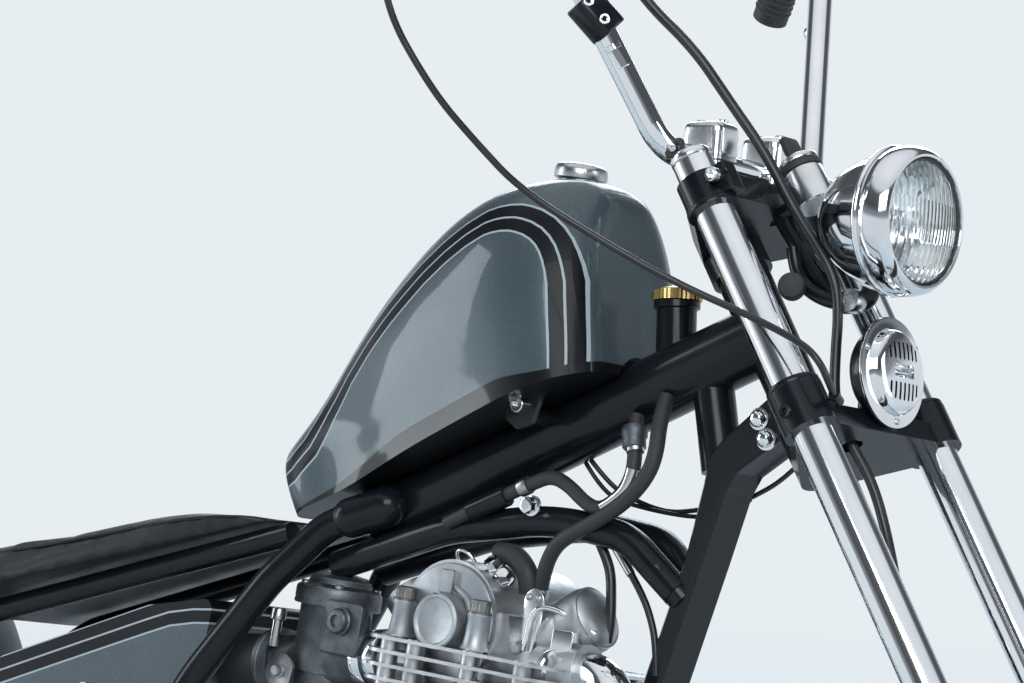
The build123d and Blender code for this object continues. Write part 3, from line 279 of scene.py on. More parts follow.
# %% Lights
for name, place, aim, size, power, tint in (
    ("key_panel", (2.2, -2.6, 2.9), (0.2, -0.2, 0.6), (2.6, 1.6), 88, (0.90, 0.96, 1.0)),
    ("back_panel", (-1.6, 2.7, 2.3), (0.1, 0.0, 0.7), (2.4, 1.4), 58, (0.80, 0.91, 1.0)),
    ("front_panel", (3.1, 0.9, 1.3), (0.5, 0.0, 0.7), (1.0, 2.2), 30, (0.86, 0.94, 1.0)),
    ("tail_panel", (-2.8, -1.7, 1.5), (-0.3, -0.1, 0.5), (1.0, 2.0), 30, (0.88, 0.95, 1.0)),
):
    bpy.ops.object.light_add(type="AREA", location=place)
    panel = bpy.context.object
    panel.name = name
    panel.rotation_euler = (Vector(aim) - Vector(place)).to_track_quat("-Z", "Y").to_euler()
    panel.data.shape = "RECTANGLE"
    panel.data.size, panel.data.size_y = size
    panel.data.energy = power
    panel.data.color = tint
    print(name, power, "W")

# %% [markdown]
# Real finishes share a few effects: slow patches of tone, a fine grain, and bright worn edges.
# Each is built once as a node group, and every material places it with its own numbers. The wear
# compares the true surface with one whose edges are rounded off: they differ only at an edge.

# %% Shared effects


def new_group(name, inputs, outputs):
    """An empty node group with its named sockets: its tree, what it is given, and its result."""
    tree = bpy.data.node_groups.new(name, "ShaderNodeTree")
    for label, kind, value in inputs:
        socket = tree.interface.new_socket(label, in_out="INPUT", socket_type=kind)
        if value is not None:
            socket.default_value = value
    for label, kind in outputs:
        tree.interface.new_socket(label, in_out="OUTPUT", socket_type=kind)
    return tree, tree.nodes.new("NodeGroupInput").outputs, tree.nodes.new("NodeGroupOutput")


def noise(tree, place, scale, **more):
    """The grey value of a noise texture."""
    return node(tree, "ShaderNodeTexNoise", {"Vector": place, "Scale": scale, **more}).outputs[0]


def place_group(tree, group, **values):
    """Put a shared effect in a material, and give back its first output."""
    return node(tree, "ShaderNodeGroup", values, node_tree=group).outputs[0]


def mix_colour(tree, amount, first, second):
    """Two colours mixed by a mask."""
    return node(tree, "ShaderNodeMix", {0: amount, 6: first, 7: second},
                data_type="RGBA").outputs[2]


vector, number = "NodeSocketVector", "NodeSocketFloat"

tone_patches, given, result = new_group(
    "tone_patches", [("Place", vector, None), ("Scale", number, 8.0)], [("Mask", number)])
cloud = noise(tone_patches, given["Place"], given["Scale"], Detail=5.0, Roughness=0.6)
wire(tone_patches, result, {"Mask": map_range(tone_patches, cloud, 0.3, 0.7)})

surface_grain, given, result = new_group(
    "surface_grain", [("Place", vector, None), ("Scale", number, 400.0)], [("Height", number)])
broad_share = 0.3
fine = noise(surface_grain, given["Place"], given["Scale"], Detail=3.0, Roughness=0.55)
broad_scale = math(surface_grain, "MULTIPLY", given["Scale"], 0.06)
broad = noise(surface_grain, given["Place"], broad_scale, Detail=1.0)
wire(surface_grain, result, {"Height": math(
    surface_grain, "ADD", math(surface_grain, "MULTIPLY", fine, 1 - broad_share),
    math(surface_grain, "MULTIPLY", broad, broad_share))})

edge_wear, given, result = new_group(
    "edge_wear", [("Place", vector, None), ("Radius", number, 0.002), ("Scale", number, 60.0)],
    [("Mask", number)])
rounded = node(edge_wear, "ShaderNodeBevel", {"Radius": given["Radius"]}, samples=4).outputs[0]
true_face = node(edge_wear, "ShaderNodeNewGeometry").outputs["Normal"]
edge = map_range(edge_wear, vector_math(edge_wear, "DOT_PRODUCT", rounded, true_face), 0.995, 0.86)
rub = map_range(edge_wear, noise(edge_wear, given["Place"], given["Scale"], Detail=4.0), 0.42, 0.62)
wire(edge_wear, result, {"Mask": math(edge_wear, "MULTIPLY", edge, rub)})
print("effects:", tone_patches.name, surface_grain.name, edge_wear.name)

# %% [markdown]
# Most finishes differ in numbers only: the two tones, how rough, how grainy, and whether the edges
# show bare metal. One recipe covers them, and the special ones build on it: gloss black frame
# paint, chrome, castings as they come from the mould, machined fins, rubber and oily steel.

# %% The common recipe
finishes = {}
grain_distance, coat_roughness = 0.0006, 0.06


def add_bump(tree, height, strength, distance):
    """Let a height be felt in the surface of a material."""
    bump = node(tree, "ShaderNodeBump",
                {"Height": height, "Strength": strength, "Distance": distance})
    wire(tree, tree.nodes["Principled BSDF"], {"Normal": bump.outputs[0]})


def new_finish(name, light, dark, metallic, rough, patch=9.0, grain=500.0, depth=0.02, coat=0.0,
               worn=None, shine=0.5):
    """A finish with two tones, uneven roughness, a grain, and worn edges if it has them."""
    made = bpy.data.materials.new(name)
    made.use_nodes = True
    tree = made.node_tree
    spot = node(tree, "ShaderNodeTexCoord").outputs["Object"]
    mask = place_group(tree, tone_patches, Place=spot, Scale=patch)
    colour = mix_colour(tree, mask, (*light, 1), (*dark, 1))
    if worn:
        bare, radius, scale = worn
        edges = place_group(tree, edge_wear, Place=spot, Radius=radius, Scale=scale)
        colour = mix_colour(tree, edges, colour, (*bare, 1))
    if depth:
        height = place_group(tree, surface_grain, Place=spot, Scale=grain)
        add_bump(tree, height, depth * 10, grain_distance)
    wire(tree, tree.nodes["Principled BSDF"],
         {"Base Color": colour, "Roughness": map_range(tree, mask, 0.0, 1.0, *rough, smooth=False),
          "Metallic": metallic, "Coat Weight": coat, "Coat Roughness": coat_roughness,
          "Specular IOR Level": shine})
    finishes[name] = made
    return made


new_finish("frame_black", (0.006, 0.007, 0.010), (0.010, 0.012, 0.016), 0.0, (0.2, 0.32), grain=220,
           depth=0.008, coat=0.12, worn=((0.03, 0.034, 0.04), 0.0015, 70), shine=0.2)
new_finish("chrome", (0.80, 0.81, 0.83), (0.70, 0.72, 0.75), 1.0, (0.035, 0.10), patch=14,
           depth=0.0)
new_finish("fork_chrome", (0.84, 0.85, 0.87), (0.76, 0.78, 0.80), 1.0, (0.05, 0.13), patch=11,
           depth=0.0)
new_finish("cast_alloy", (0.46, 0.48, 0.50), (0.31, 0.33, 0.35), 0.9, (0.38, 0.56), patch=22,
           grain=900, depth=0.05, worn=((0.72, 0.73, 0.74), 0.002, 90))
new_finish("fin_alloy", (0.58, 0.59, 0.60), (0.42, 0.43, 0.445), 0.95, (0.3, 0.5), patch=26,
           grain=1000, depth=0.04, worn=((0.80, 0.81, 0.82), 0.0012, 110))
new_finish("polished_alloy", (0.78, 0.79, 0.80), (0.62, 0.635, 0.65), 1.0, (0.12, 0.26), patch=18,
           grain=1400, depth=0.006)
new_finish("cap_brass", (0.62, 0.45, 0.18), (0.40, 0.27, 0.10), 1.0, (0.2, 0.42), patch=60,
           grain=900, depth=0.02, worn=((0.82, 0.66, 0.34), 0.0012, 120))
new_finish("steel", (0.52, 0.53, 0.54), (0.36, 0.37, 0.38), 1.0, (0.22, 0.4), patch=30, grain=900,
           depth=0.02)
new_finish("chain_steel", (0.26, 0.25, 0.24), (0.10, 0.095, 0.09), 0.95, (0.28, 0.5), patch=70,
           grain=900, depth=0.03)
new_finish("black_rubber", (0.022, 0.022, 0.023), (0.032, 0.032, 0.033), 0.0, (0.5, 0.7), patch=30,
           grain=1200, depth=0.03)
cable_finish = new_finish("cable_black", (0.010, 0.010, 0.011), (0.018, 0.018, 0.020), 0.0,
                          (0.28, 0.4), patch=30, grain=900, depth=0.01)
for cable in (throttle_cable, brake_cable):
    cable.data.materials.append(cable_finish)
# Painted shade: the carburettor sits in shade, and this darker alloy paints that shade into its
# colour. Its bright worn edges are wear.
new_finish("carb_alloy_painted_shade", (0.15, 0.165, 0.18), (0.08, 0.09, 0.10), 0.85, (0.4, 0.58), patch=40,
           grain=1100, depth=0.05, worn=((0.42, 0.44, 0.46), 0.0015, 120))
print(sorted(finishes))

# %% [markdown]
# The tank is sprayed with a grey-silver metallic under a clear coat, and lined by hand: three thin
# pale lines hold two black bands between them. The lines follow the shoulder of the tank from its
# tail, over the crest, and down the front. On a real tank that is masking tape and a brush. Here
# the line is a short row of points in the side view, and a shader measures how far each spot of
# paint is from it. That way the lining is sharp at any distance and needs no picture.

# %% Pin striping
segment, given, result = new_group(
    "distance_to_run", [("Place", vector, None), ("From", vector, None), ("To", vector, None)],
    [("Distance", number)])
arm = vector_math(segment, "SUBTRACT", given["Place"], given["From"])
run = vector_math(segment, "SUBTRACT", given["To"], given["From"])
along = vector_math(segment, "DOT_PRODUCT", arm, run)
whole = vector_math(segment, "DOT_PRODUCT", run, run)
foot = vector_math(segment, "SCALE", run, Scale=math(segment, "DIVIDE", along, whole, clamp=True))
wire(segment, result, {"Distance": vector_math(segment, "DISTANCE", arm, foot)})

band_reach, line_reach = 0.0125, 0.0009
paint_metal, coat_gain, line_coat = 0.2, 2.2, 0.06
lining, given, result = new_group(
    "lining", [("Distance", number, 1.0)], [("Black", number), ("Line", number)])
away = given["Distance"]
middle_line = math(lining, "LESS_THAN", away, line_reach)
outer_line = math(lining, "COMPARE", away, band_reach, line_reach)
wire(lining, result, {"Black": math(lining, "LESS_THAN", away, band_reach),
                      "Line": math(lining, "MAXIMUM", middle_line, outer_line)})


def side_place(tree, spot):
    """A spot in the side view of the upright motorcycle, and the same spot with its depth."""
    turned = node(tree, "ShaderNodeMapping", {
        "Vector": spot, "Location": upright.translation, "Rotation": (-lean, 0, 0)},
        vector_type="TEXTURE").outputs[0]
    parts = node(tree, "ShaderNodeSeparateXYZ", {0: turned}).outputs
    return node(tree, "ShaderNodeCombineXYZ", {0: parts["X"], 2: parts["Z"]}).outputs[0], turned


def repaint(tree, mask, colour):
    """Lay a colour over the paint that is there, where a mask says."""
    base = tree.nodes["Principled BSDF"].inputs["Base Color"]
    mixed = mix_colour(tree, mask, base.links[0].from_socket, (*colour, 1))
    tree.links.new(mixed, base)


def lined_paint(name, points):
    """Metallic paint with the pin striping along a row of points in the side view."""
    made = new_finish(name, (0.074, 0.100, 0.115), (0.060, 0.083, 0.097), paint_metal,
                      (0.32, 0.42), patch=5, grain=160, depth=0.004, coat=0.55, shine=0.15)
    tree = made.node_tree
    spot = tree.nodes["Texture Coordinate"].outputs["Object"]
    flat, turned = side_place(tree, spot)
    nearest = None
    for start, end in zip(points, points[1:]):
        far = place_group(tree, segment, Place=flat, From=mm(start[0], 0, start[1]),
                          To=mm(end[0], 0, end[1]))
        nearest = far if nearest is None else math(tree, "MINIMUM", nearest, far)
    marks = node(tree, "ShaderNodeGroup", {"Distance": nearest}, node_tree=lining).outputs
    flakes = node(tree, "ShaderNodeTexVoronoi", {"Vector": spot, "Scale": 2600.0}).outputs["Color"]
    sparkle = node(tree, "ShaderNodeSeparateColor", {0: flakes}).outputs[0]
    repaint(tree, map_range(tree, sparkle, 0.6, 1.0, 0.0, 0.35), (0.20, 0.235, 0.25))
    repaint(tree, marks["Black"], (0.004, 0.005, 0.008))
    repaint(tree, marks["Line"], (0.42, 0.47, 0.50))
    plain = math(tree, "SUBTRACT", 1.0, math(tree, "MAXIMUM", marks["Black"], marks["Line"]))
    metal = math(tree, "MULTIPLY", plain, paint_metal)
    coat = math(tree, "MULTIPLY_ADD", metal, coat_gain, line_coat)
    wire(tree, tree.nodes["Principled BSDF"], {"Metallic": metal, "Coat Weight": coat})
    return made, turned


tank_line = [
    (1046, 830), (1037.9, 859.9), (1032.6, 879.7), (1027.3, 899.1), (1018.9, 930.1),
    (1014.1, 941.8), (1009, 951.6), (1002.9, 960.7), (995.9, 967.9), (987.3, 973.8), (976.4, 978),
    (966.4, 979.8), (957.6, 980.4), (946.5, 979.2), (935.4, 976.6), (924.9, 972.7), (904.6, 960.3),
    (881.6, 943.1), (858, 922.4), (822, 885), (796.2, 856.4), (771.2, 824.4), (751.6, 788.2),
    (737.4, 755.3), (719.6, 732.6), (698, 720)]
tank_paint, turned = lined_paint("tank_paint", tank_line)
print("tank striping has", len(tank_line), "points")

# %% [markdown]
# The underside of the tank is black, as on many a custom: the silver stops a finger's width above
# the lower edge, along a line that swells in the middle and thins out to both ends. The tank's
# floor slopes with the backbone, so the black is everything under a sloping line with a hem on it.

# %% Black underside
tree = tank_paint.node_tree
parts = node(tree, "ShaderNodeSeparateXYZ", {0: turned}).outputs
slope = 0.5052
front_x, front_z = 1.061, 0.861
hem_edge = 0.0005
floor_line = math(tree, "MULTIPLY_ADD", parts["X"], slope, front_z - front_x * slope)
above = math(tree, "SUBTRACT", parts["Z"], floor_line)
swell = map_range(tree, parts["X"], 0.725, 0.880, 0.003, 0.0195)
nose = map_range(tree, parts["X"], 0.970, 1.032, 0.0, 0.0095)
hem = math(tree, "SUBTRACT", swell, nose)
under = map_range(tree, math(tree, "SUBTRACT", above, hem), hem_edge, -hem_edge)
repaint(tree, under, (0.008, 0.009, 0.010))
print("underside black below the sloping hem")

# %% [markdown]
# The tool box under the seat wears the same paint, with the lining along its upper edge.

# %% Tool box paint
box_line = [(700, 600), (640, 592), (610, 585), (582, 574), (480, 532), (398, 498), (340, 474)]
box_paint, _ = lined_paint("box_paint", box_line)
print("tool box striping has", len(box_line), "points")

# %% [markdown]
# Leather is skin: a net of small cells with creases between them, finer pores inside, and a dull
# sheen that gets glossier where a rider has polished it. Cells come from a Voronoi texture's
# distance to its edges, stretched a little so that they don't look like gravel.

# %% Leather and rubber
leather = new_finish("seat_leather", (0.009, 0.010, 0.013), (0.014, 0.016, 0.020), 0.0, (0.3, 0.46),
                     patch=12, depth=0.0, shine=0.3)
tree = leather.node_tree
spot = tree.nodes["Texture Coordinate"].outputs["Object"]
shaken = node(tree, "ShaderNodeTexNoise",
              {"Vector": spot, "Scale": 120.0, "Detail": 2.0}).outputs[1]
wobble = vector_math(tree, "SCALE", shaken, Scale=0.006)
place = vector_math(tree, "ADD", spot, wobble)
cells = node(tree, "ShaderNodeTexVoronoi", {"Vector": place, "Scale": 420.0},
             feature="DISTANCE_TO_EDGE").outputs[0]
creases = map_range(tree, cells, 0.0, 0.16)
pores = noise(tree, spot, 1800.0, Detail=2.0)
add_bump(tree, math(tree, "ADD", creases, math(tree, "MULTIPLY", pores, 0.35)), 0.35, 0.0005)
tree.nodes["Principled BSDF"].inputs["Sheen Weight"].default_value = 0.06

new_finish("tyre_rubber", (0.020, 0.020, 0.021), (0.034, 0.033, 0.032), 0.0, (0.62, 0.82), patch=14,
           grain=1500, depth=0.04)
lamp_red = new_finish("lamp_red", (0.42, 0.008, 0.006), (0.30, 0.004, 0.004), 0.0, (0.08, 0.16),
                      patch=30, depth=0.0, coat=0.5)
lamp_red.node_tree.nodes["Principled BSDF"].inputs["Transmission Weight"].default_value = 0.35
print("leather, rubber and red lens are ready")

# %% [markdown]
# The lamp's glass is pressed with upright flutes, narrow ones in a band across the middle and wide
# ones above and below it. A sine wave across the glass makes them, folded up so that each flute is
# round, and a bump lets the surface feel it. The directions lean with the motorcycle.

# %% Fluted glass
lamp_centre = mm(1285, 0, 1016)
wide_flute, narrow_flute = 0.0078, 0.0052
to_left, upwards = Vector((0, cos(lean), -sin(lean))), Vector((0, sin(lean), cos(lean)))
glass = bpy.data.materials.new("lens_glass")
glass.use_nodes = True
tree = glass.node_tree
spot = node(tree, "ShaderNodeTexCoord").outputs["Object"]
across = vector_math(tree, "DOT_PRODUCT", spot, to_left)
aloft = vector_math(tree, "DOT_PRODUCT", spot, upwards)
lamp_height = (upright @ lamp_centre).dot(upwards)
inner_band = math(tree, "COMPARE", aloft, lamp_height + 0.003, 0.017)
count = math(tree, "MULTIPLY_ADD", inner_band, pi / narrow_flute - pi / wide_flute, pi / wide_flute)
wave = math(tree, "ABSOLUTE", math(tree, "SINE", math(tree, "MULTIPLY", across, count)))
add_bump(tree, wave, 0.4, 0.0007)
smear = place_group(tree, tone_patches, Place=spot, Scale=40.0)
wire(tree, tree.nodes["Principled BSDF"], {
    "Roughness": map_range(tree, smear, 0.0, 1.0, 0.02, 0.06, smooth=False),
    "Base Color": mix_colour(tree, smear, (0.97, 0.99, 0.985, 1), (0.92, 0.95, 0.95, 1)),
    "Transmission Weight": 1.0, "IOR": 1.48})
finishes["lens_glass"] = glass
print("glass has flutes of", wide_flute, "and", narrow_flute, "m")

# %% [markdown]
# The frame's parts keep their own shapes and only change their finish. Each part came in with a
# plain stand-in material named after its slot, so the right finish is found by that name. The
# tool box and the carburettor differ from the parts that share their slot. The carburettor's
# darker alloy is painted shade.

# %% Dress the frame's own parts
own_finish = {"tool_box": box_paint, "carburettor": finishes["carb_alloy_painted_shade"],
              "intake_duct": finishes["black_rubber"]}
unknown = set()
for name, part in frame["nodes"].items():
    for holder in part.material_slots:
        plain = holder.material.name.split(".")[0]
        wanted = own_finish.get(name) or finishes.get(plain)
        if wanted:
            holder.link = "OBJECT"
            holder.material = wanted
        else:
            unknown.add(plain)
print("slots without a finish:", sorted(unknown))

# %% [markdown]
# Round things are turned on a lathe, and a lathe is easy by hand: draw half of the outline, vertex
# by vertex, and spin it round. The outline is given as radius and height along the axis. Flat
# things are pressed from sheet: draw the outline, fill it, pull it up and break its edges.

# %% Lathe and press


def pick(piece):
    """Make a piece the only one selected, and the active one."""
    bpy.ops.object.select_all(action="DESELECT")
    bpy.context.view_layer.objects.active = piece
    piece.select_set(True)


def reshaped(piece, kind, **settings):
    """Change a piece by a modifier that is applied at once."""
    step = piece.modifiers.new(kind.lower(), kind)
    for name, value in settings.items():
        setattr(step, name, value)
    pick(piece)
    bpy.ops.object.modifier_apply(modifier=step.name)
    return piece


def trace(name, points):
    """Draw a line of edges by extruding one vertex from point to point, in millimetres."""
    bpy.ops.object.select_all(action="DESELECT")
    bpy.ops.mesh.primitive_plane_add(size=0.001, location=(0, 0, 0))
    piece = bpy.context.object
    piece.name = piece.data.name = name
    bpy.ops.object.mode_set(mode="EDIT")
    bpy.ops.mesh.select_all(action="SELECT")
    bpy.ops.mesh.merge(type="CENTER")
    bpy.ops.transform.translate(value=Vector(points[0]) / 1000)
    for before, after in zip(points, points[1:]):
        way = (Vector(after) - Vector(before)) / 1000
        bpy.ops.mesh.extrude_vertices_move(TRANSFORM_OT_translate={"value": way})
    bpy.ops.mesh.select_all(action="SELECT")
    return piece


def tidy_mesh():
    """Merge what spun or folded onto itself, turn faces outwards, and leave edit mode."""
    bpy.ops.mesh.select_all(action="SELECT")
    bpy.ops.mesh.remove_doubles(threshold=0.00002)
    bpy.ops.mesh.normals_make_consistent(inside=False)
    bpy.ops.object.mode_set(mode="OBJECT")


def turned_piece(name, outline, steps=48):
    """A lathe-turned piece: (radius, height) points spun about the z axis."""
    piece = trace(name, [(radius, 0, height) for radius, height in outline])
    bpy.ops.mesh.spin(steps=steps, angle=2 * pi, center=(0, 0, 0), axis=(0, 0, 1))
    tidy_mesh()
    return piece


def pressed_piece(name, outline, thickness, edge=0.4, segments=2):
    """A flat piece: an outline in x and y, pulled up along z, its edges broken by a bevel."""
    piece = trace(name, [(x, y, 0) for x, y in outline])
    bpy.ops.mesh.edge_face_add()
    bpy.ops.mesh.select_all(action="SELECT")
    bpy.ops.mesh.extrude_region_move(TRANSFORM_OT_translate={"value": (0, 0, thickness / 1000)})
    tidy_mesh()
    if edge:
        soften(piece, edge, segments)
    return piece


def soften(piece, width, segments=2, angle=35):
    """Round the sharp edges of a piece."""
    return reshaped(piece, "BEVEL", width=width / 1000, segments=segments, limit_method="ANGLE",
                    angle_limit=radians(angle))


print("tools: trace, tidy_mesh, turned_piece, pressed_piece, soften")

# %% [markdown]
# A finished piece is leaned over with the motorcycle, smoothed, painted and mounted on its body.
# What repeats is modelled once and copied, each copy with its own mesh. The carburettor's alloy
# is a finish of its own, darkened as painted shade, but shares the slot of the castings.


def aimed(origin, along, roll=0.0):
    """The place of a piece whose own z axis points along a direction on the upright motorcycle."""
    turn = Vector(along).to_track_quat("Z", "Y").to_matrix().to_4x4()
    return Matrix.Translation(Vector(origin)) @ turn @ Matrix.Rotation(roll, 4, "Z")


def settle(piece, body, finish, *nodes, place=Matrix.Identity(4), smooth=40):
    """Lean a finished piece over, smooth it, paint it and mount it on its body."""
    piece.data.transform(upright @ place)
    pick(piece)
    bpy.ops.object.shade_smooth_by_angle(angle=radians(smooth))
    piece.data.materials.clear()
    piece.data.materials.append(finishes[finish])
    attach(piece, body)
    if nodes:
        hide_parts(*nodes)
    return piece


def twin_of(piece):
    """A copy of a piece with its own mesh."""
    twin = piece.copy()
    twin.data = piece.data.copy()
    bpy.context.scene.collection.objects.link(twin)
    return twin


def joined(name, parts):
    """Several shapes made one piece."""
    pick(parts[0])
    for part in parts:
        part.select_set(True)
    if len(parts) > 1:
        bpy.ops.object.join()
    parts[0].name = parts[0].data.name = name
    return parts[0]


def repeated(piece, places):
    """Copies of a small shape in their places, joined into one piece."""
    twins = [twin_of(piece) for _ in places]
    for twin, place in zip(twins, places):
        twin.data.transform(place)
    name = piece.name
    bpy.data.objects.remove(piece)
    return joined(name, twins)


print("tools: aimed, settle, twin_of, joined, repeated")

# %% [markdown]
# Small fittings come in left and right pairs, or face out to the side. One tool stands a drawing up
# on the side of the motorcycle, so that what is drawn right and up on paper runs forward and up
# there, and one makes the mirror twin. A mirrored mesh is inside out, so its faces are flipped.
# Others lay a round rod along a few points, for levers, wires and hoses, or start from a box or a
# drum, to shape it or to cut with it.

# %% Tools for fittings
out_right, straight_up = Vector((0, -1, 0)), Vector((0, 0, 1))


def right_side(x, y, z):
    """A place on the right flank: drawn x runs forward, drawn y runs up, and z points outwards."""
    turn = Matrix(((1, 0, 0, 0), (0, 0, -1, 0), (0, 1, 0, 0), (0, 0, 0, 1)))
    return Matrix.Translation(mm(x, y, z)) @ turn


def both_sides(piece, place=Matrix.Identity(4)):
    """Put a piece in its place and join it with its mirror twin on the other flank."""
    piece.data.transform(place)
    twin = twin_of(piece)
    twin.data.transform(Matrix.Scale(-1, 4, (0, 1, 0)))
    twin.data.flip_normals()
    return joined(piece.name, [piece, twin])


def arc(x, y, radius, start, end, steps=10):
    """Points of an arc, from one angle to another in degrees."""
    turns = [radians(start + (end - start) * step / steps) for step in range(steps + 1)]
    return [(x + radius * cos(turn), y + radius * sin(turn)) for turn in turns]


def rounded_box(width, depth, radius, x=0, y=0, steps=5):
    """The outline of a rectangle with round corners, about a point."""
    across, up = width / 2 - radius, depth / 2 - radius
    corners = ((across, up, 0), (-across, up, 90), (-across, -up, 180), (across, -up, 270))
    return [spot for dx, dy, turn in corners
            for spot in arc(x + dx, y + dy, radius, turn, turn + 90, steps)]


def made_mesh(piece):
    """Turn a round line into a mesh."""
    pick(piece)
    bpy.ops.object.convert(target="MESH")
    return bpy.context.object


def rod(name, points, diameter, resolution=3):
    """A round rod along a smooth line that a few points steer, in millimetres."""
    piece, spline = smooth_line(name, [mm(*point) for point in points], diameter / 2000, resolution)
    spline.use_endpoint_u = True
    spline.resolution_u = 8
    piece.data.use_fill_caps = True
    return made_mesh(piece)


def box(centre, size):
    """A box by its centre and its sides, in metres."""
    bpy.ops.mesh.primitive_cube_add(size=1, location=centre)
    made = bpy.context.object
    made.scale = size
    bpy.ops.object.transform_apply(location=True, rotation=True, scale=True)
    return made


def drum(sides, radius, depth, centre, turn=(0, 0, 0)):
    """A drum or a prism by its centre and size, in metres."""
    bpy.ops.mesh.primitive_cylinder_add(vertices=sides, radius=radius, depth=depth, location=centre,
                                        rotation=turn)
    made = bpy.context.object
    bpy.ops.object.transform_apply(location=True, rotation=True, scale=True)
    return made


def cut_away(piece, cutter):
    """Cut one shape out of another by a Boolean, and drop the cutter."""
    reshaped(piece, "BOOLEAN", object=cutter, solver="EXACT")
    bpy.data.objects.remove(cutter)
    return piece


def both_flanks(x, y, z):
    """A place on each flank, left and right, that faces straight out."""
    return [aimed(mm(x, side * y, z), Vector((0, side, 0))) for side in (1, -1)]


print("tools: right_side, both_sides, arc, rounded_box, rod, box, drum, cut_away")

# %% [markdown]
# Screws are small, but they tell the eye how large everything is. Two kinds do for the whole
# motorcycle: a socket head with its recess, and a hexagon head on a washer. Each is modelled
# once, standing on the xy plane, and copied to its places.

# %% Screws


def socket_screw(name, radius, height):
    """A round screw head with a small chamfer and a recess for the key."""
    hole, floor_level = radius * 0.5, height - radius * 0.7
    return turned_piece(name, [
        (0, floor_level), (hole, floor_level), (hole, height - 0.4), (hole + 0.5, height),
        (radius - 0.8, height), (radius, height - 0.8), (radius, 0), (0, 0)], 24)


def hex_screw(name, across, height, washer=1.6):
    """A hexagon head on a washer, its upper corners turned off."""
    disc = turned_piece(name + "_washer", [
        (0, 0), (across * 0.66, 0), (across * 0.7, 0.4), (across * 0.7, washer - 0.3),
        (across * 0.66, washer), (0, washer)], 32)
    middle = (0, 0, (washer + height / 2) / 1000)
    head = drum(6, across / 2000 / cos(pi / 6), height / 1000, middle)
    bpy.ops.object.mode_set(mode="EDIT")
    bpy.ops.mesh.select_mode(type="FACE")
    bpy.ops.mesh.select_all(action="DESELECT")
    mesh = bmesh.from_edit_mesh(head.data)
    for face in mesh.faces:
        face.select = face.normal.z > 0.9
    bmesh.update_edit_mesh(head.data)
    bpy.ops.mesh.inset(thickness=across * 0.00008, depth=across * 0.00005)
    bpy.ops.mesh.inset(thickness=across * 0.00012, depth=0.0)
    bpy.ops.mesh.select_mode(type="VERT")
    tidy_mesh()
    return joined(name, [disc, head])


print("two kinds of screw: socket_screw, hex_screw")

# %% [markdown]
# The headlamp is the brightest thing on the motorcycle: a deep chrome bowl and a hooded bezel with
# a rolled seam. The solid model is closed, so a hollow one is turned here, with shell and bezel as
# one outline.

# %% Headlamp shell
lamp_axis = Vector((0.996917, 0, 0.078459))
lamp = aimed(lamp_centre, lamp_axis)
shell = turned_piece("headlamp_shell", [
    (0, -56), (10, -55.4), (20, -52.5), (32, -45.5), (42, -35), (50, -21), (55.5, -6), (58.6, 6),
    (59.4, 8.2), (62.2, 8.6), (63.4, 10), (63.5, 12), (62.6, 13.6), (61.2, 14.2), (61.4, 15.4),
    (62.6, 18), (63.2, 23), (62.8, 29), (61.2, 35), (58.4, 39.5), (55.6, 41.6), (53.6, 41.2),
    (52.7, 39), (52.6, 33), (50.4, 32), (48, 24), (30, 5), (0, 0)], 96)
settle(shell, "steering", "chrome", "headlight_shell", place=lamp)
print("headlamp shell", round(shell.dimensions.y, 3), "m across")

# %% [markdown]
# In the shell lie a silvered reflector and, in its middle, the bulb. The glass is a thin dome with
# a flat rim, and a rubber gasket beds it in the bezel.

# %% Reflector, bulb and lens
reflector = turned_piece("headlamp_reflector", [
    (52.2, 36.6), (50.5, 33), (46, 22.5), (39, 13.6), (30, 6.4), (20, 2.4), (12, 0.8), (11.4, 3.4),
    (8.2, 3.8), (8, 1.2), (0, 1.2)], 72)
settle(reflector, "steering", "polished_alloy", place=lamp)
bulb = turned_piece("headlamp_bulb", [
    (6.4, 1.4), (6.4, 9), (7.6, 9.6), (7.8, 12), (9.4, 16), (9.8, 20), (8.4, 24.5), (5, 27.6),
    (0, 28.6)], 32)
settle(bulb, "steering", "steel", place=lamp)
lens = turned_piece("headlamp_lens", [
    (0, 48.6), (12, 48.2), (24, 46.8), (36, 44.2), (46, 40.6), (51, 37.8), (52.2, 36.4),
    (51.4, 34.8), (49, 35.6), (44, 38), (35, 41.2), (24, 43.6), (12, 45), (0, 45.4)], 96)
settle(lens, "steering", "lens_glass", "headlight_glass", place=lamp, smooth=60)
rim = turned_piece("headlamp_gasket", [
    (50.6, 37.0), (52.5, 37.2), (52.5, 39.2), (51.8, 39.6), (50.8, 38.8), (50.6, 37.0)], 72)
settle(rim, "steering", "black_rubber", place=lamp)
print("headlamp glass", round(lens.dimensions.y, 3), "m across")

# %% [markdown]
# Under the lamp hangs the horn: a chromed cover on a flat flange held by three screws, with upright
# slots above and below a small window. The slots are cut from the turned cover by a Boolean, as a
# press would punch them. Behind them lies a dark plate, black so that the slots show painted shade.

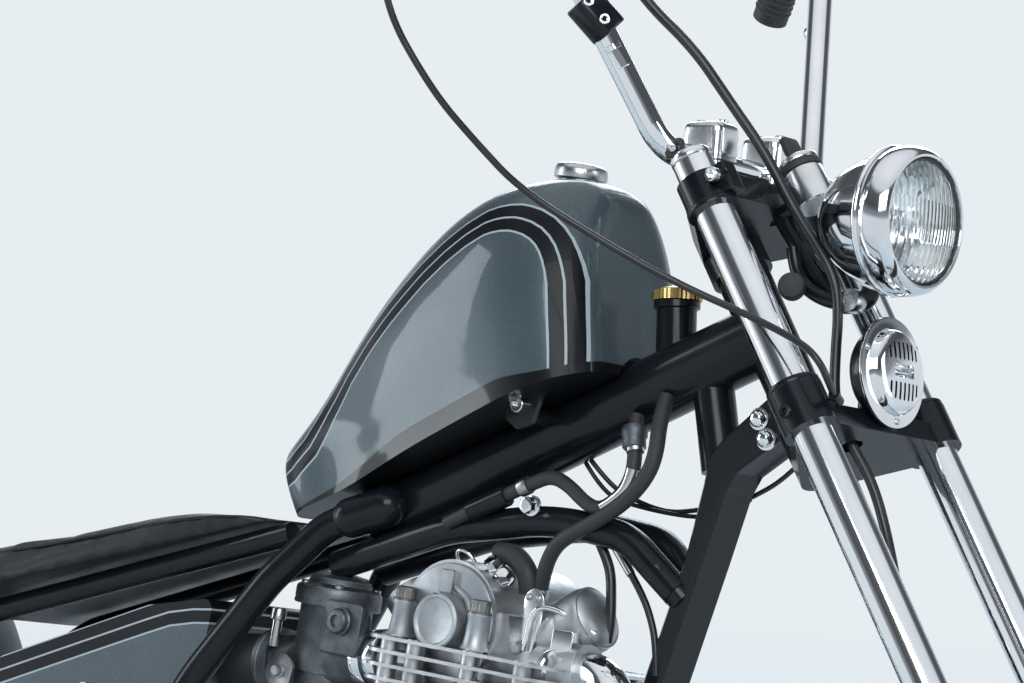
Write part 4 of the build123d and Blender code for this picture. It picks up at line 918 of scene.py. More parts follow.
# %% Horn cover
horn_axis = Vector((cos(radians(12)), 0, sin(radians(12))))
horn = aimed(mm(1313, 0, 891), horn_axis)
cover = turned_piece("horn_cover", [
    (0, 6), (30, 6), (34, 5), (34.5, 1.5), (46, 1), (46.5, 2), (46.3, 3.4), (44, 4), (37.2, 4.2),
    (36.2, 5), (35.2, 8.6), (32.6, 11.6), (27, 13.8), (18, 15), (8, 15.6), (0, 15.7)], 72)
slot_pitch, slot_width, slotted_radius, slot_margin = 6.2, 2.6, 30, 3.5
slots = []
for column in range(-3, 4):
    for low, high in ((9.5, 24.5), (-24.5, -9.5)):
        reach = (slotted_radius ** 2 - (column * slot_pitch) ** 2) ** 0.5 - slot_margin
        top, foot = min(high, reach), max(low, -reach)
        slot = box((column * slot_pitch / 1000, (top + foot) / 2000, 0.012),
                   (slot_width / 1000, (top - foot) / 1000, 0.02))
        slots.append(soften(slot, 1.1, 2, 30))
window = soften(box((0, 0, 0.014), (0.028, 0.011, 0.012)), 1.4, 3, 30)
cut_away(cover, joined("horn_slots", slots + [window]))
settle(cover, "steering", "chrome", place=horn)
print("horn cover has", len(slots), "slots and", len(cover.data.polygons), "faces")

# %% [markdown]
# Behind the cover sit the horn's can, its foot and the diaphragm: a real part, but its black is
# painted shade that darkens the slots. A bright bar lies across the window, and three screws hold
# the flange.

# %% Horn body
horn_can = turned_piece("horn_can", [
    (0, -20), (26, -20), (32, -18), (35.5, -14), (36.6, -2), (38.4, -0.6), (46, -0.4), (46.4, 0.8),
    (0, 1.2)], 64)
settle(horn_can, "steering", "frame_black", "horn", place=horn)
foot_line = [on_steer(x, 0, z) * 1000 for x, z in ((44, 18), (56, 30), (62, 46))]
horn_foot = rod("horn_foot", foot_line, 13)
settle(horn_foot, "steering", "frame_black")
# The diaphragm's black rubber is painted shade: it darkens the slots as the shade inside a horn
# does.
plate = turned_piece("horn_diaphragm_painted_shade", [(0, 7.6), (20, 7.8), (31, 7.6), (31.5, 6.1), (0, 6.1)], 48)
settle(plate, "steering", "black_rubber", place=horn)
bar = drum(24, 0.0022, 0.022, (0, -0.001, 0.0115), (0, pi / 2, 0))
bar.name = "horn_window_bar"
settle(soften(bar, 0.8), "steering", "polished_alloy", place=horn)
screw = turned_piece("horn_screws", [(0, 2.2), (1.2, 2.0), (2.4, 1.2), (2.8, 0), (0, 0)], 20)
screw_places = [Matrix.Rotation(radians(turn), 4, "Z") @ Matrix.Translation(mm(41, 0, 4))
                for turn in (35, 155, 275)]
screws = repeated(screw, screw_places)
settle(screws, "steering", "steel", place=horn)
print("horn held by", len(screw_places), "screws")

# %% [markdown]
# A seat like this is a thin steel base, a slab of foam and one skin of leather pulled round it.
# The skin bulges between its edges and its front corners are gathered in pleats. The cushion
# starts as the frame's own pad, a little smaller, and is blown up from inside by a cloth
# simulation, held along its base. How far it may swell is capped, so that it stays off the tubes.

# %% Padded seat and pillion pad


def shrunk_copy(node_name, name, inset):
    """A copy of a solid pad, merged and drawn in, ready to be blown up."""
    pad = twin_of(frame["nodes"][node_name])
    pad.name = pad.data.name = name
    for key in list(pad.keys()):
        if key.startswith("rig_"):
            del pad[key]
    pad.parent = None
    pick(pad)
    bpy.ops.object.mode_set(mode="EDIT")
    tidy_mesh()
    pad.data.transform(upright.inverted())
    reshaped(pad, "REMESH", mode="VOXEL", voxel_size=0.005)
    bpy.ops.object.mode_set(mode="EDIT")
    bpy.ops.mesh.select_all(action="SELECT")
    bpy.ops.transform.shrink_fatten(value=-inset / 1000)
    bpy.ops.object.mode_set(mode="OBJECT")
    return pad


def blown_up(pad, cap, held_down):
    """Swell a pad by cloth simulation, no farther than cap. held_down says what is tacked down."""
    group = pad.vertex_groups.new(name="tacked")
    group.add([v.index for v in pad.data.vertices if held_down(v)], 1.0, "REPLACE")
    rest = [v.co.copy() for v in pad.data.vertices]
    cloth = pad.modifiers.new("foam", "CLOTH")
    cloth.settings.use_pressure = True
    cloth.settings.uniform_pressure_force = 4
    cloth.settings.vertex_group_mass = "tacked"
    cloth.settings.effector_weights.gravity = 0
    cloth.settings.quality = 5
    for moment in range(1, 21):
        bpy.context.scene.frame_set(moment)
    bpy.context.view_layer.objects.active = pad
    bpy.ops.object.modifier_apply(modifier=cloth.name)
    bpy.context.scene.frame_set(1)
    for point, start in zip(pad.data.vertices, rest):
        moved = point.co - start
        if moved.length > cap / 1000:
            point.co = start + moved.normalized() * cap / 1000
    reshaped(pad, "SMOOTH", factor=0.5, iterations=5)
    return reshaped(pad, "SUBSURF", levels=1, render_levels=1)


def on_seat_base(point):
    """Whether a point of the seat is within 6 mm of its sloping base."""
    return point.co.z - (0.6846 + (point.co.x - 0.726) * 0.3541) < 0.006


def on_pillion_base(point):
    """Whether a point of the pillion pad faces down."""
    return point.normal.z < -0.5


seat = blown_up(shrunk_copy("seat", "seat_cushion", 2.5), 7, on_seat_base)
pillion = blown_up(shrunk_copy("pillion_pad", "pillion_cushion", 3.5), 9, on_pillion_base)
print("seat cushion", len(seat.data.polygons), "faces, pillion", len(pillion.data.polygons))

# %% [markdown]
# A piped seam runs round the seat where the top panel meets the side. It is laid on the finished
# cushion: each point of the outline is dropped onto the nearest spot of the skin.

# %% Piping


def piping(name, pad, outline, diameter):
    """A cord of piping laid on the skin of a cushion, along a closed outline."""
    laid = []
    for place in outline:
        spot, normal = pad.closest_point_on_mesh(mm(*place))[1:3]
        laid.append(spot + normal * diameter / 4000)
    piece, spline = smooth_line(name, laid, diameter / 2000, 3)
    spline.use_cyclic_u = True
    return made_mesh(piece)


seat_top = [
    (718, 66, 688), (690, 74, 687), (650, 90, 682), (600, 101, 669), (525, 115, 648),
    (461, 126, 629), (430, 129, 620), (394, 128, 610), (350, 123, 600), (312, 116, 588)]
left_rim = [(x, y, z - 3) for x, y, z in seat_top]
right_rim = [(x, -y, z) for x, y, z in reversed(left_rim)]
tail_rim = [(308, y, 585) for y in (90, 45, 0, -45, -90)]
seat_rim = left_rim + tail_rim + right_rim + [(724, y, 686) for y in (-40, 0, 40)]
seat_piping = piping("seat_piping", seat, seat_rim, 3.2)
settle(seat_piping, "frame", "seat_leather")
settle(seat, "frame", "seat_leather", "seat", smooth=80)
settle(pillion, "frame", "seat_leather", "pillion_pad", smooth=80)
print("piping follows", len(seat_rim), "points")

# %% [markdown]
# Tyres are spun from their profile, and their tread is cut the way a mould does it: the crown is
# divided into blocks, each block's face is drawn in a little and raised, and what stays between
# them is the groove. The middle rib is raised in one piece, so that it runs unbroken.

# %% Treaded tyres


def treaded_tyre(name, radius, crown, bead, width, steps, rib, groove):
    """A tyre about the z axis, with a rib in the middle and blocks on its shoulders."""
    half, middle = width / 2 - 3.5, radius - crown
    wall = middle - crown * 0.75
    outline = [(bead, -half), (bead + 6, -half - 1.5), (wall, -half - 4)]
    shoulder = [10, 23, 36, 50, 64, 76, 90, 104, 118]
    turns = [-turn for turn in reversed(shoulder)] + shoulder
    outline += [(middle + crown * cos(radians(turn)), crown * sin(radians(turn))) for turn in turns]
    outline += [(wall, half + 4), (bead + 6, half + 1.5), (bead, half), (bead, -half)]
    tyre = turned_piece(name, outline, steps)
    bpy.ops.object.mode_set(mode="EDIT")
    bpy.ops.mesh.select_mode(type="FACE")
    for blocks, low, high in ((True, 12, 62), (False, -1, 10)):
        bpy.ops.mesh.select_all(action="DESELECT")
        mesh = bmesh.from_edit_mesh(tyre.data)
        for face in mesh.faces:
            centre = face.calc_center_median()
            out = (centre.x ** 2 + centre.y ** 2) ** 0.5 * 1000 - middle
            tilt = abs(atan2(centre.z * 1000, out))
            face.select = out > 0 and radians(low) < tilt < radians(high)
        bmesh.update_edit_mesh(tyre.data)
        bpy.ops.mesh.inset(thickness=rib / 1000, use_individual=blocks)
        bpy.ops.transform.shrink_fatten(value=groove / 1000)
    bpy.ops.mesh.select_mode(type="VERT")
    tidy_mesh()
    return tyre


to_left = Vector((0, 1, 0))
front_tyre = treaded_tyre("front_tyre_treaded", 344.5, 40, 266, 50, 132, 1.3, 2.5)
settle(front_tyre, "front_wheel", "tyre_rubber", "front_tyre", place=aimed(front_axle, to_left),
       smooth=30)
rear_tyre = treaded_tyre("rear_tyre_treaded", 319.5, 60, 203, 88, 96, 2.0, 3.5)
settle(rear_tyre, "rear_wheel", "tyre_rubber", "rear_tyre", place=aimed(rear_axle, to_left),
       smooth=30)
print("tyres have", len(front_tyre.data.polygons), "and", len(rear_tyre.data.polygons), "faces")

# %% [markdown]
# The chain is modelled as a chain: pairs of side plates and rollers, an inner pair and an outer
# pair in turn. It runs straight between the two sprockets and wraps round them, so a link's place
# follows from the length of chain before it.

# %% Drive chain
pitch, chain_y = 12.7, 76
sprocket_big, sprocket_small = 100.0, 40.0
wheel_centre = Vector((0, 324.123))
output_centre = Vector((705, 312))
span = output_centre - wheel_centre
slant = atan2(span.y, span.x)
spread = acos((sprocket_big - sprocket_small) / span.length)
straight = (span.length ** 2 - (sprocket_big - sprocket_small) ** 2) ** 0.5
wrap_small = 2 * spread * sprocket_small
wrap_big = (2 * pi - 2 * spread) * sprocket_big
loop_length = 2 * straight + wrap_small + wrap_big


def round_sprocket(centre, radius, turn):
    """A spot on a sprocket and the heading of the chain there."""
    return centre + Vector((cos(turn), sin(turn))) * radius, Vector((sin(turn), -cos(turn)))


def between(start, end, share):
    """A spot on a straight run and the heading of the chain there."""
    return start.lerp(end, share), (end - start).normalized()


def chain_spot(travel):
    """The point and heading of the chain after some length of it, in the side view."""
    travel %= loop_length
    up, down = slant + spread, slant - spread
    ends = [(round_sprocket(wheel_centre, sprocket_big, turn)[0],
             round_sprocket(output_centre, sprocket_small, turn)[0]) for turn in (up, down)]
    if travel < straight:
        return between(ends[0][0], ends[0][1], travel / straight)
    travel -= straight
    if travel < wrap_small:
        return round_sprocket(output_centre, sprocket_small, up - travel / sprocket_small)
    travel -= wrap_small
    if travel < straight:
        return between(ends[1][1], ends[1][0], travel / straight)
    return round_sprocket(wheel_centre, sprocket_big, down - (travel - straight) / sprocket_big)


def chain_link(name, plate_y, thickness):
    """A pair of side plates with one roller, lying along x and centred on the origin."""
    waist = [(-10.4, 2.6), (-8.4, 5.0), (-4.2, 5.0), (0, 3.9), (4.2, 5.0), (8.4, 5.0), (10.4, 2.6)]
    outline = waist + [(x, -y) for x, y in reversed(waist)]
    plates = []
    for centre in (plate_y, -plate_y):
        plate = pressed_piece(name, outline, thickness, edge=0)
        plate.data.transform(Matrix.Translation(mm(0, 0, centre - thickness / 2)))
        plates.append(plate)
    roller = drum(10, 0.0038, 2 * plate_y / 1000, (pitch / 2000, 0, 0))
    return joined(name, plates + [roller])


links = round(loop_length / pitch / 2) * 2
step = loop_length / links
shapes = [chain_link("outer_links", 6.4, 1.5), chain_link("inner_links", 4.4, 1.5)]
rows = []
for kind, shape in enumerate(shapes):
    places = []
    for index in range(kind, links, 2):
        spot, heading = chain_spot(index * step)
        turn = atan2(heading.y, heading.x)
        flat_to_side = Matrix.Rotation(-turn, 4, "Y") @ Matrix.Rotation(pi / 2, 4, "X")
        places.append(Matrix.Translation(mm(spot.x, chain_y, spot.y)) @ flat_to_side)
    rows.append(repeated(shape, places))
chain = joined("roller_chain", rows)
settle(chain, "frame", "chain_steel", "chain")
print(links, "links of", round(step, 2), "mm")

# %% [markdown]
# The handlebar clamps, triple clamps and brackets are held by bright screws. Their places were
# read off the motorcycle, and each head sits on the face it clamps.

# %% Bright screws
pinch = socket_screw("pinch_screws", 6.2, 6.5)
pinch_places = [aimed(on_steer(74, side * 109.6, 233), Vector((0, side, 0))) for side in (-1, 1)]
settle(repeated(pinch, pinch_places), "steering", "chrome")
gusset = turned_piece("gusset_bolts", [
    (0, 9.4), (3.6, 9), (6, 7.6), (7.4, 5.4), (7.8, 2.6), (7.8, 2.2), (9.6, 2), (9.6, 0),
    (0, 0)], 32)
upper, lower = both_flanks(1206, 22.1, 838), both_flanks(1216.5, 22.1, 822)
settle(repeated(gusset, [upper[0], lower[0], upper[1], lower[1]]), "frame", "chrome")
tank_screw = turned_piece("tank_screws", [
    (0, 4.2), (3.4, 4.2), (3.6, 7.2), (4.4, 7.8), (6.4, 7.8), (7, 7.2), (7, 0), (0, 0)], 28)
settle(repeated(tank_screw, both_flanks(987, 70.5, 820)), "frame", "polished_alloy", "frame_bolts")
lug_bolt = hex_screw("engine_bolts", 14, 7.5, 2.0)
front, rear = both_flanks(1041, 24.1, 330), both_flanks(648, 46.1, 276)
settle(repeated(lug_bolt, [front[0], rear[0], front[1], rear[1]]), "frame", "steel")
print("screws set on clamps, gusset and tank")

# %% [markdown]
# The cylinder head is the busiest casting. Its round camshaft housing has a machined face with a
# soft outer edge, a square boss above the cap and a rib beside it. The castings are solid in the
# frame, so what is added stands on them.

# %% Camshaft housing
cam_x, cam_z = 940, 625
face = arc(cam_x, cam_z, 51, -14, 194, 30)
cam_face = pressed_piece("camshaft_face", face, 3.4, edge=2.2, segments=4)
settle(both_sides(cam_face, right_side(0, -65.6, 0)), "frame", "cast_alloy")
boss = pressed_piece("camshaft_boss", rounded_box(14, 21, 2, 936, 659), 8, edge=1.6, segments=3)
settle(both_sides(boss, right_side(0, -66, 0)), "frame", "cast_alloy")
rib = rod("camshaft_rib", [(944, -68, 655), (958, -69, 650), (966, -71, 638), (972, -73, 628)], 6)
settle(both_sides(rib), "frame", "cast_alloy")
print("housing has a face of", len(face), "points, a boss and a rib")

# %% [markdown]
# Long studs hold the cylinder down. They show as columns between the fins, and above the head each
# ends in a waisted tower with a nut on a washer.

# %% Studs and nuts
stud_x, stud_y = (895, 981), (-75, 75)
sleeve = turned_piece("stud_towers", [
    (8, 0), (13.5, 0), (11.2, 4), (10.2, 12), (9.7, 26), (10.6, 28), (10.6, 31), (8, 31),
    (8, 0)], 24)
stud_places = [aimed(mm(x, y, 605), straight_up) for x in stud_x for y in stud_y]
settle(repeated(sleeve, stud_places), "frame", "cast_alloy")
nut = hex_screw("stud_nuts", 15.5, 9.5, 2.4)
nut_places = [aimed(mm(x, y, 635.8), straight_up, radians(12)) for x in stud_x for y in stud_y]
settle(repeated(nut, nut_places), "frame", "chain_steel")
column = turned_piece("stud_columns", [(0, 0), (8.4, 0), (8.4, 164), (0, 164)], 20)
column_places = [aimed(mm(x, y, 440), straight_up)
                 for x in (888, 918, 981, 1040) for y in (-78, 78)]
settle(repeated(column, column_places), "frame", "fin_alloy")
print(len(stud_places), "towers and", len(column_places), "columns")

# %% [markdown]
# The cap on the housing is turned with a raised rim. A notch for a spanner is cut out of its edge.

# %% Camshaft cap
cap = turned_piece("camshaft_cap_turned", [
    (0, 0), (25, 0), (25, 19.2), (24.4, 21), (22.8, 22), (21.2, 21.9), (19.8, 20.8), (18.8, 20.3),
    (0, 20.3)], 72)
notch = box(mm(-4, 25.4, 20), (0.0055, 0.005, 0.02))
settle(cut_away(cap, notch), "frame", "cast_alloy", "camshaft_cap", place=right_side(942, -66, 624),
       smooth=30)
print("camshaft cap has", len(cap.data.polygons), "faces")

# %% [markdown]
# Beside the housing sits the arm that lifts the exhaust valve for an easy kick start: a flat arm
# with two rivets, a curved lever, a polished dome and a squared plug under it.

# %% Valve lifter
arm_outline = arc(1025, 655, 11, 0, 180, 12) + arc(1024, 614, 7.5, 180, 360, 10)
arm = pressed_piece("lifter_arm", arm_outline, 4, edge=1.0, segments=3)
settle(arm, "frame", "polished_alloy", place=right_side(0, -55, 0))
rivet = turned_piece("lifter_rivets", [(0, 2.6), (1.8, 2.2), (3.0, 1.1), (3.3, 0), (0, 0)], 20)
rivets = repeated(rivet, [right_side(x, -59, 658) for x in (1019.5, 1030.5)])
settle(rivets, "frame", "steel")
pivot = hex_screw("lifter_pivot", 10, 6, 1.6)
settle(pivot, "frame", "steel", place=right_side(1019, -59, 613))
lever = rod("lifter_lever", [
    (1024, -62, 612), (1026, -62, 628), (1027, -62, 643), (1034, -61, 651), (1047, -59, 652),
    (1060, -54, 648), (1074, -47, 641), (1084, -42, 636)], 5.4)
settle(lever, "frame", "chrome")
dome_axis = Vector((0.874, 0, 0.486))
dome = turned_piece("lifter_dome", [
    (0, -26), (27.6, -26), (29, -20), (29.2, -5), (28, 0), (24.5, 4.6), (18, 7.8), (9.5, 9.6),
    (0, 10)], 56)
settle(dome, "frame", "cast_alloy", place=aimed(mm(1070, -28, 649), dome_axis), smooth=60)
plug = pressed_piece("lifter_plug", rounded_box(21, 21, 1.6), 24, edge=1.4, segments=3)
settle(plug, "frame", "polished_alloy", place=aimed(mm(1066, -56, 612), straight_up, radians(8)))
collar = turned_piece("lifter_collar", [(0, 0), (17, 0), (17, 10), (15.6, 12), (0, 12)], 32)
settle(collar, "frame", "cast_alloy", place=aimed(mm(1066, -56, 601), straight_up))
print("valve lifter: arm, lever, dome and plug")

# %% [markdown]
# Oil runs through two rubber hoses under the tank, and a short thick one lets the head breathe.
# They hang in loose bends that a few points steer, where the solid hoses run straighter.

# %% Oil hoses
feed_hose = rod("feed_hose", [
    (1079, -26, 826), (1084, -32, 808), (1092, -36, 790), (1093, -38, 772), (1085, -39, 755),
    (1066, -40, 741), (1050, -41, 745), (1030, -42, 758), (1011, -43, 764), (994, -44, 756),
    (974, -45, 746), (958, -46, 737), (940, -47, 728), (905, -48, 708)], 13)
return_hose = rod("return_hose", [
    (1106, -24, 846), (1112, -36, 822), (1119, -43, 797), (1116, -46, 776), (1098, -46, 753),
    (1072, -45, 734), (1046, -44, 719), (1028, -42, 708), (1018, -40, 692), (1012, -36, 672),
    (1006, -31, 642)], 14)
settle(joined("oil_hoses_bent", [feed_hose, return_hose]), "frame", "black_rubber", "oil_hoses")
breather = rod("breather_hose", [
    (960, -36, 690), (974, -37, 692), (990, -38, 684), (1000, -38, 672), (1001, -36, 660)], 20)
settle(breather, "frame", "black_rubber")
print("feed hose has", len(feed_hose.data.vertices), "vertices")

# %% [markdown]
# Where a hose meets the frame or the head it has a worm-drive clip, a crimped ferrule, a nut or a
# thick joint. Their places and headings were read off the hoses.

# %% Hose fittings
clip_spots = (
    ((1088.6, -34, 799), (0.38, -0.2, -0.9)), ((984, -44.4, 751), (-0.87, 0, -0.45)),
    ((1010, -34, 662), (-0.2, 0.2, -0.96)))
clip_ring = turned_piece("hose_clips", [
    (6.2, -5), (7.6, -5), (8, -4), (8, 4), (7.6, 5), (6.2, 5), (6.2, -5)], 28)
clip_places = [aimed(mm(*spot), Vector(heading)) for spot, heading in clip_spots]
settle(repeated(clip_ring, clip_places), "frame", "steel")
ferrule = rod("hose_ferrule", [
    (1093.5, -37.6, 780), (1092.5, -38.2, 766), (1084, -39.4, 753), (1070, -40, 743.5)], 14)
settle(ferrule, "frame", "polished_alloy")
# The nut wears the carburettor's alloy, darkened as painted shade.
sleeve_nut = turned_piece("hose_nut", [
    (0, -11), (10.4, -11), (11.4, -9), (11.4, -2), (10, 0), (10.4, 8), (8.6, 10), (0, 10)], 24)
settle(sleeve_nut, "frame", "carb_alloy_painted_shade",
       place=aimed(mm(1085, -32, 806), Vector((0.3, -0.2, -0.93))))
joint_box = rod("hose_joint", [(966, -45, 741), (944, -46.5, 729), (930, -47, 722)], 19)
settle(joint_box, "frame", "frame_black")
print("hoses have", len(clip_places), "clips")

# %% [markdown]
# Behind the hoses lie the strut of the head, the valve lifter's cable and two runs of wiring. The
# lower brace ends in a short thick sleeve on each side of the downtube.

# %% Wiring and brace
runs = (
    ("head_strut", 9, [
        (1056, -25, 718), (1066, -21, 702), (1073.3, -20, 688), (1078.5, -21, 667),
        (1082.8, -22, 646), (1082, -22, 630)]),
    ("lifter_cable", 6.5, [
        (1093, -20, 693), (1108, -20, 678), (1121.5, -20, 660), (1133, -20, 636),
        (1138, -20, 610)]),
    ("wiring", 4.4, [
        (990, 6, 800), (1022, 20, 764), (1055.9, 27, 752.5), (1090, 27, 748), (1121.5, 27, 754.7),
        (1157.6, 27, 763.6), (1179, 27, 774.9), (1200.7, 27, 788.8), (1214, 25, 801)]),
    ("wiring_low", 4, [
        (986, 10, 798), (1016, 18, 756), (1059, 24, 748.2), (1124.8, 24, 747), (1150, 24, 756),
        (1176, 23, 770)]),
)
rods = [rod(name, points, diameter) for name, diameter, points in runs]
settle(joined("cables_on_frame", rods), "frame", "cable_black")
cable_end = rod("lifter_cable_end", [(1074, -22, 713), (1087, -20, 698.5), (1095, -20, 691)], 8.4)
settle(cable_end, "frame", "chrome")
brace_line = [(1122, -20.4, 699), (1138, -16.4, 686.4), (1149, -12, 677)]
brace_ends = rod("brace_ends", brace_line, 26.6, resolution=6)
settle(both_sides(brace_ends), "frame", "frame_black")
print(len(runs), "rods behind the hoses")

# %% [markdown]
# The hoses end in banjo fittings, each held by a bolt with a hexagon head. A bent wire clip lies
# on the head beside them.

# %% Banjo bolts
banjo_spots = (
    ((968, -46, 676), (-0.2, -0.7, 0.7)), ((981, -47, 668), (0.1, -0.8, 0.6)),
    ((996, -44, 735.5), (0, -1, 0)))
banjo = hex_screw("banjo_bolts", 13, 8, 3)
banjo_places = [aimed(mm(*spot), Vector(heading)) for spot, heading in banjo_spots]
settle(repeated(banjo, banjo_places), "frame", "chrome")
clip_wire = rod("head_clip", [
    (918, -40, 678), (917, -44, 684), (924, -46, 688), (934, -44, 685), (938, -40, 678)], 3.2)
settle(clip_wire, "frame", "chrome")
print("hoses end in", len(banjo_places), "bolts")

# %% [markdown]
# The clamps that hold the bars are split: a dark line runs round each riser where its cap meets the
# foot. A riser's cap is a soft block, turned until it stands square to the bar, with two screws.

# %% Risers
riser_up = (Vector((1126, 0, 1047)) - Vector((1130.18, 0, 1003.69))).normalized()
riser_place = aimed(mm(1126, 42, 1047), riser_up)
bar_way = riser_place.to_3x3().inverted() @ Vector((0, 1, 0))
riser = riser_place @ Matrix.Rotation(atan2(bar_way.y, bar_way.x), 4, "Z")
riser_cap = pressed_piece("riser_caps", rounded_box(33.4, 41.4, 9), 33, edge=7, segments=6)
riser_cap.data.transform(Matrix.Translation(mm(0, 0, 1.2)))
settle(both_sides(riser_cap, riser), "steering", "polished_alloy")
riser_joint = pressed_piece("riser_joints", rounded_box(32.8, 40.8, 6.4), 1.4, edge=0)
riser_joint.data.transform(Matrix.Translation(mm(0, 0, -0.2)))
settle(both_sides(riser_joint, riser), "steering", "black_rubber")
riser_screw = socket_screw("riser_screws", 5.2, 3)
screw_spots = [Matrix.Translation(mm(0, reach, 33.6)) for reach in (-11, 11)]
settle(both_sides(repeated(riser_screw, screw_spots), riser), "steering", "steel")
print("risers split at", round(riser_up.z, 3))

# %% [markdown]
# The fork tubes show their polished ends above the upper clamp, closed with a screwed plug. Dark
# rings lie where a tube enters a clamp, and a large nut closes the steering stem.

# %% Fork ends
plug_outline = [
    (0, 0), (17.6, 0), (17.8, 1), (17.8, 5), (16.8, 6.4), (13.4, 6.8), (12.8, 4.2), (0, 4.2)]
tube_end = turned_piece("fork_caps", plug_outline, 40)
ends = [aimed(on_steer(50, side * 91.5, 265.6), steer_up) for side in (-1, 1)]
settle(repeated(tube_end, ends), "steering", "polished_alloy")
ring = turned_piece("clamp_rings", [
    (17.4, 0), (22.6, 0), (23, 1), (23, 4), (22.4, 5), (17.4, 5), (17.4, 0)], 44)
rings = [aimed(on_steer(50, side * 91.5, level), steer_up)
         for side in (-1, 1) for level in (215, 38)]
settle(repeated(ring, rings), "steering", "frame_black")
collar_screw = socket_screw("collar_screws", 6, 2.4)
collar_place = aimed(on_steer(48, -114.6, 17), out_right)
settle(both_sides(collar_screw, collar_place), "steering", "frame_black")
stem_nut = hex_screw("stem_nut", 30, 12, 3)
settle(stem_nut, "steering", "chrome", place=aimed(on_steer(0, 0, 246), steer_up))
print(len(ends), "plugs and", len(rings), "rings")

# %% [markdown]
# The throttle cable is held in a black hinged block on the bar, with a bright adjuster. The bar has
# an oval hole where the wiring comes out, edged with rubber.

# %% Bar fittings
block_spot = mm(1078, -164, 1148)
bar_along = Vector((-0.545, -0.548, 0.635)).normalized()
block = pressed_piece("cable_block", rounded_box(31, 27, 7), 36, edge=2, segments=3)
block.data.transform(Matrix.Translation(mm(0, 0, -18)))
settle(block, "steering", "frame_black", place=aimed(block_spot, bar_along, radians(20)))
block_screw = socket_screw("block_screws", 4.6, 4.4)
block_face = Vector((0.62, -0.75, 0.2)).normalized()
block_places = [aimed(block_spot + block_face * 0.0145 + bar_along * step / 1000, block_face)
                for step in (-10, 10)]
settle(repeated(block_screw, block_places), "steering", "chrome")
adjuster = hex_screw("cable_adjuster", 10, 16, 5)
settle(adjuster, "steering", "chrome", place=aimed(mm(1093, -156, 1126), Vector((0.5, 0.4, -0.76))))
grommet = turned_piece("wiring_grommet", [
    (3.4, -1.2), (6.2, -1.2), (6.6, 0), (5.6, 1.3), (4.2, 1.5), (3.2, 0.6), (3.4, -1.2)], 28)
grommet.data.transform(Matrix.Diagonal((1.0, 1.6, 1.0, 1.0)))
settle(grommet, "steering", "black_rubber",
       place=aimed(mm(1134.8, -102.9, 1050.4), Vector((0.77, -0.63, 0.1)), radians(-35)))
print("bar has a block with", len(block_places), "screws, an adjuster and a grommet")

# %% [markdown]
# The lamp's bracket is a curved strip with a knurled bolt, and beside it a stop knob sits on the
# lower clamp.

# %% Lamp fittings
knurled = turned_piece("lamp_bolt", [
    (0, -8), (9.4, -8), (10.2, -7), (10.2, 5), (9.4, 6.2), (5, 7), (4.4, 5.4), (0, 5.4)], 30)
settle(knurled, "steering", "steel", place=aimed(mm(1275, -14, 946), out_right))
strip = rod("lamp_strip", [
    (1204, -10, 985), (1210, -10, 966), (1224, -10, 952), (1246, -10, 944), (1268, -10, 943),
    (1280, -10, 950)], 13)
settle(strip, "steering", "frame_black")
knob = turned_piece("stop_knob", [
    (0, -10), (9, -10), (11, -8), (11.6, -3), (11.6, 4), (10, 8.5), (5.6, 10), (0, 10.4)], 32)
settle(knob, "steering", "black_rubber", place=aimed(mm(1223, -30, 951), Vector((0.5, -0.85, 0.1))))
print("lamp bracket, bolt and stop knob")

# %% [markdown]
# The key switch is a bright turned barrel with a dark collar near its top. It sits on an arm from
# the upper clamp, and the black head of the key stands in it.

# %% Key switch
key_foot = mm(1216, 0, 1022)
barrel = turned_piece("key_barrel", [
    (0, 2), (17, 2), (18, 3), (18, 34), (17.4, 35), (16.4, 35.4), (16.4, 42), (17.6, 42.6),
    (18, 43.6), (18, 46.4), (17, 47.6), (15, 48.2), (12, 48.4), (11.4, 50.6), (0, 51)], 56)
settle(barrel, "steering", "polished_alloy", "key_switch", place=aimed(key_foot, steer_up))
key_ring = turned_piece("key_collar", [
    (16, 35.6), (18.2, 35.6), (18.6, 36.2), (18.6, 41.4), (18.2, 42), (16, 42), (16, 35.6)], 56)
settle(key_ring, "steering", "black_rubber", place=aimed(key_foot, steer_up))
arm_line = [on_steer(50, 0, 230) * 1000, on_steer(40, 0, 222) * 1000, (1212, 0, 1034)]
key_arm = rod("key_bracket", arm_line, 17)
settle(key_arm, "steering", "frame_black")
key_bow = pressed_piece("key_bow", rounded_box(22, 20, 4), 6.4, edge=1.4, segments=3)
key_bow.data.transform(Matrix.Translation(mm(0, 10, -3.2)))
key_seat = Matrix.Translation(key_foot + steer_up * 0.0505)
key_turn = Matrix(((0, steer_up.x, steer_ahead.x, 0), (1, 0, 0, 0),
                   (0, steer_up.z, steer_ahead.z, 0), (0, 0, 0, 1)))
settle(key_bow, "steering", "black_rubber", place=key_seat @ key_turn)
print("key switch: barrel, collar, arm and key")

# %% [markdown]
# The tank's filler is a bright cap of two rings with a dark gap between them. The oil tank's neck
# has a black collar and a thin knurled brass ring above it.

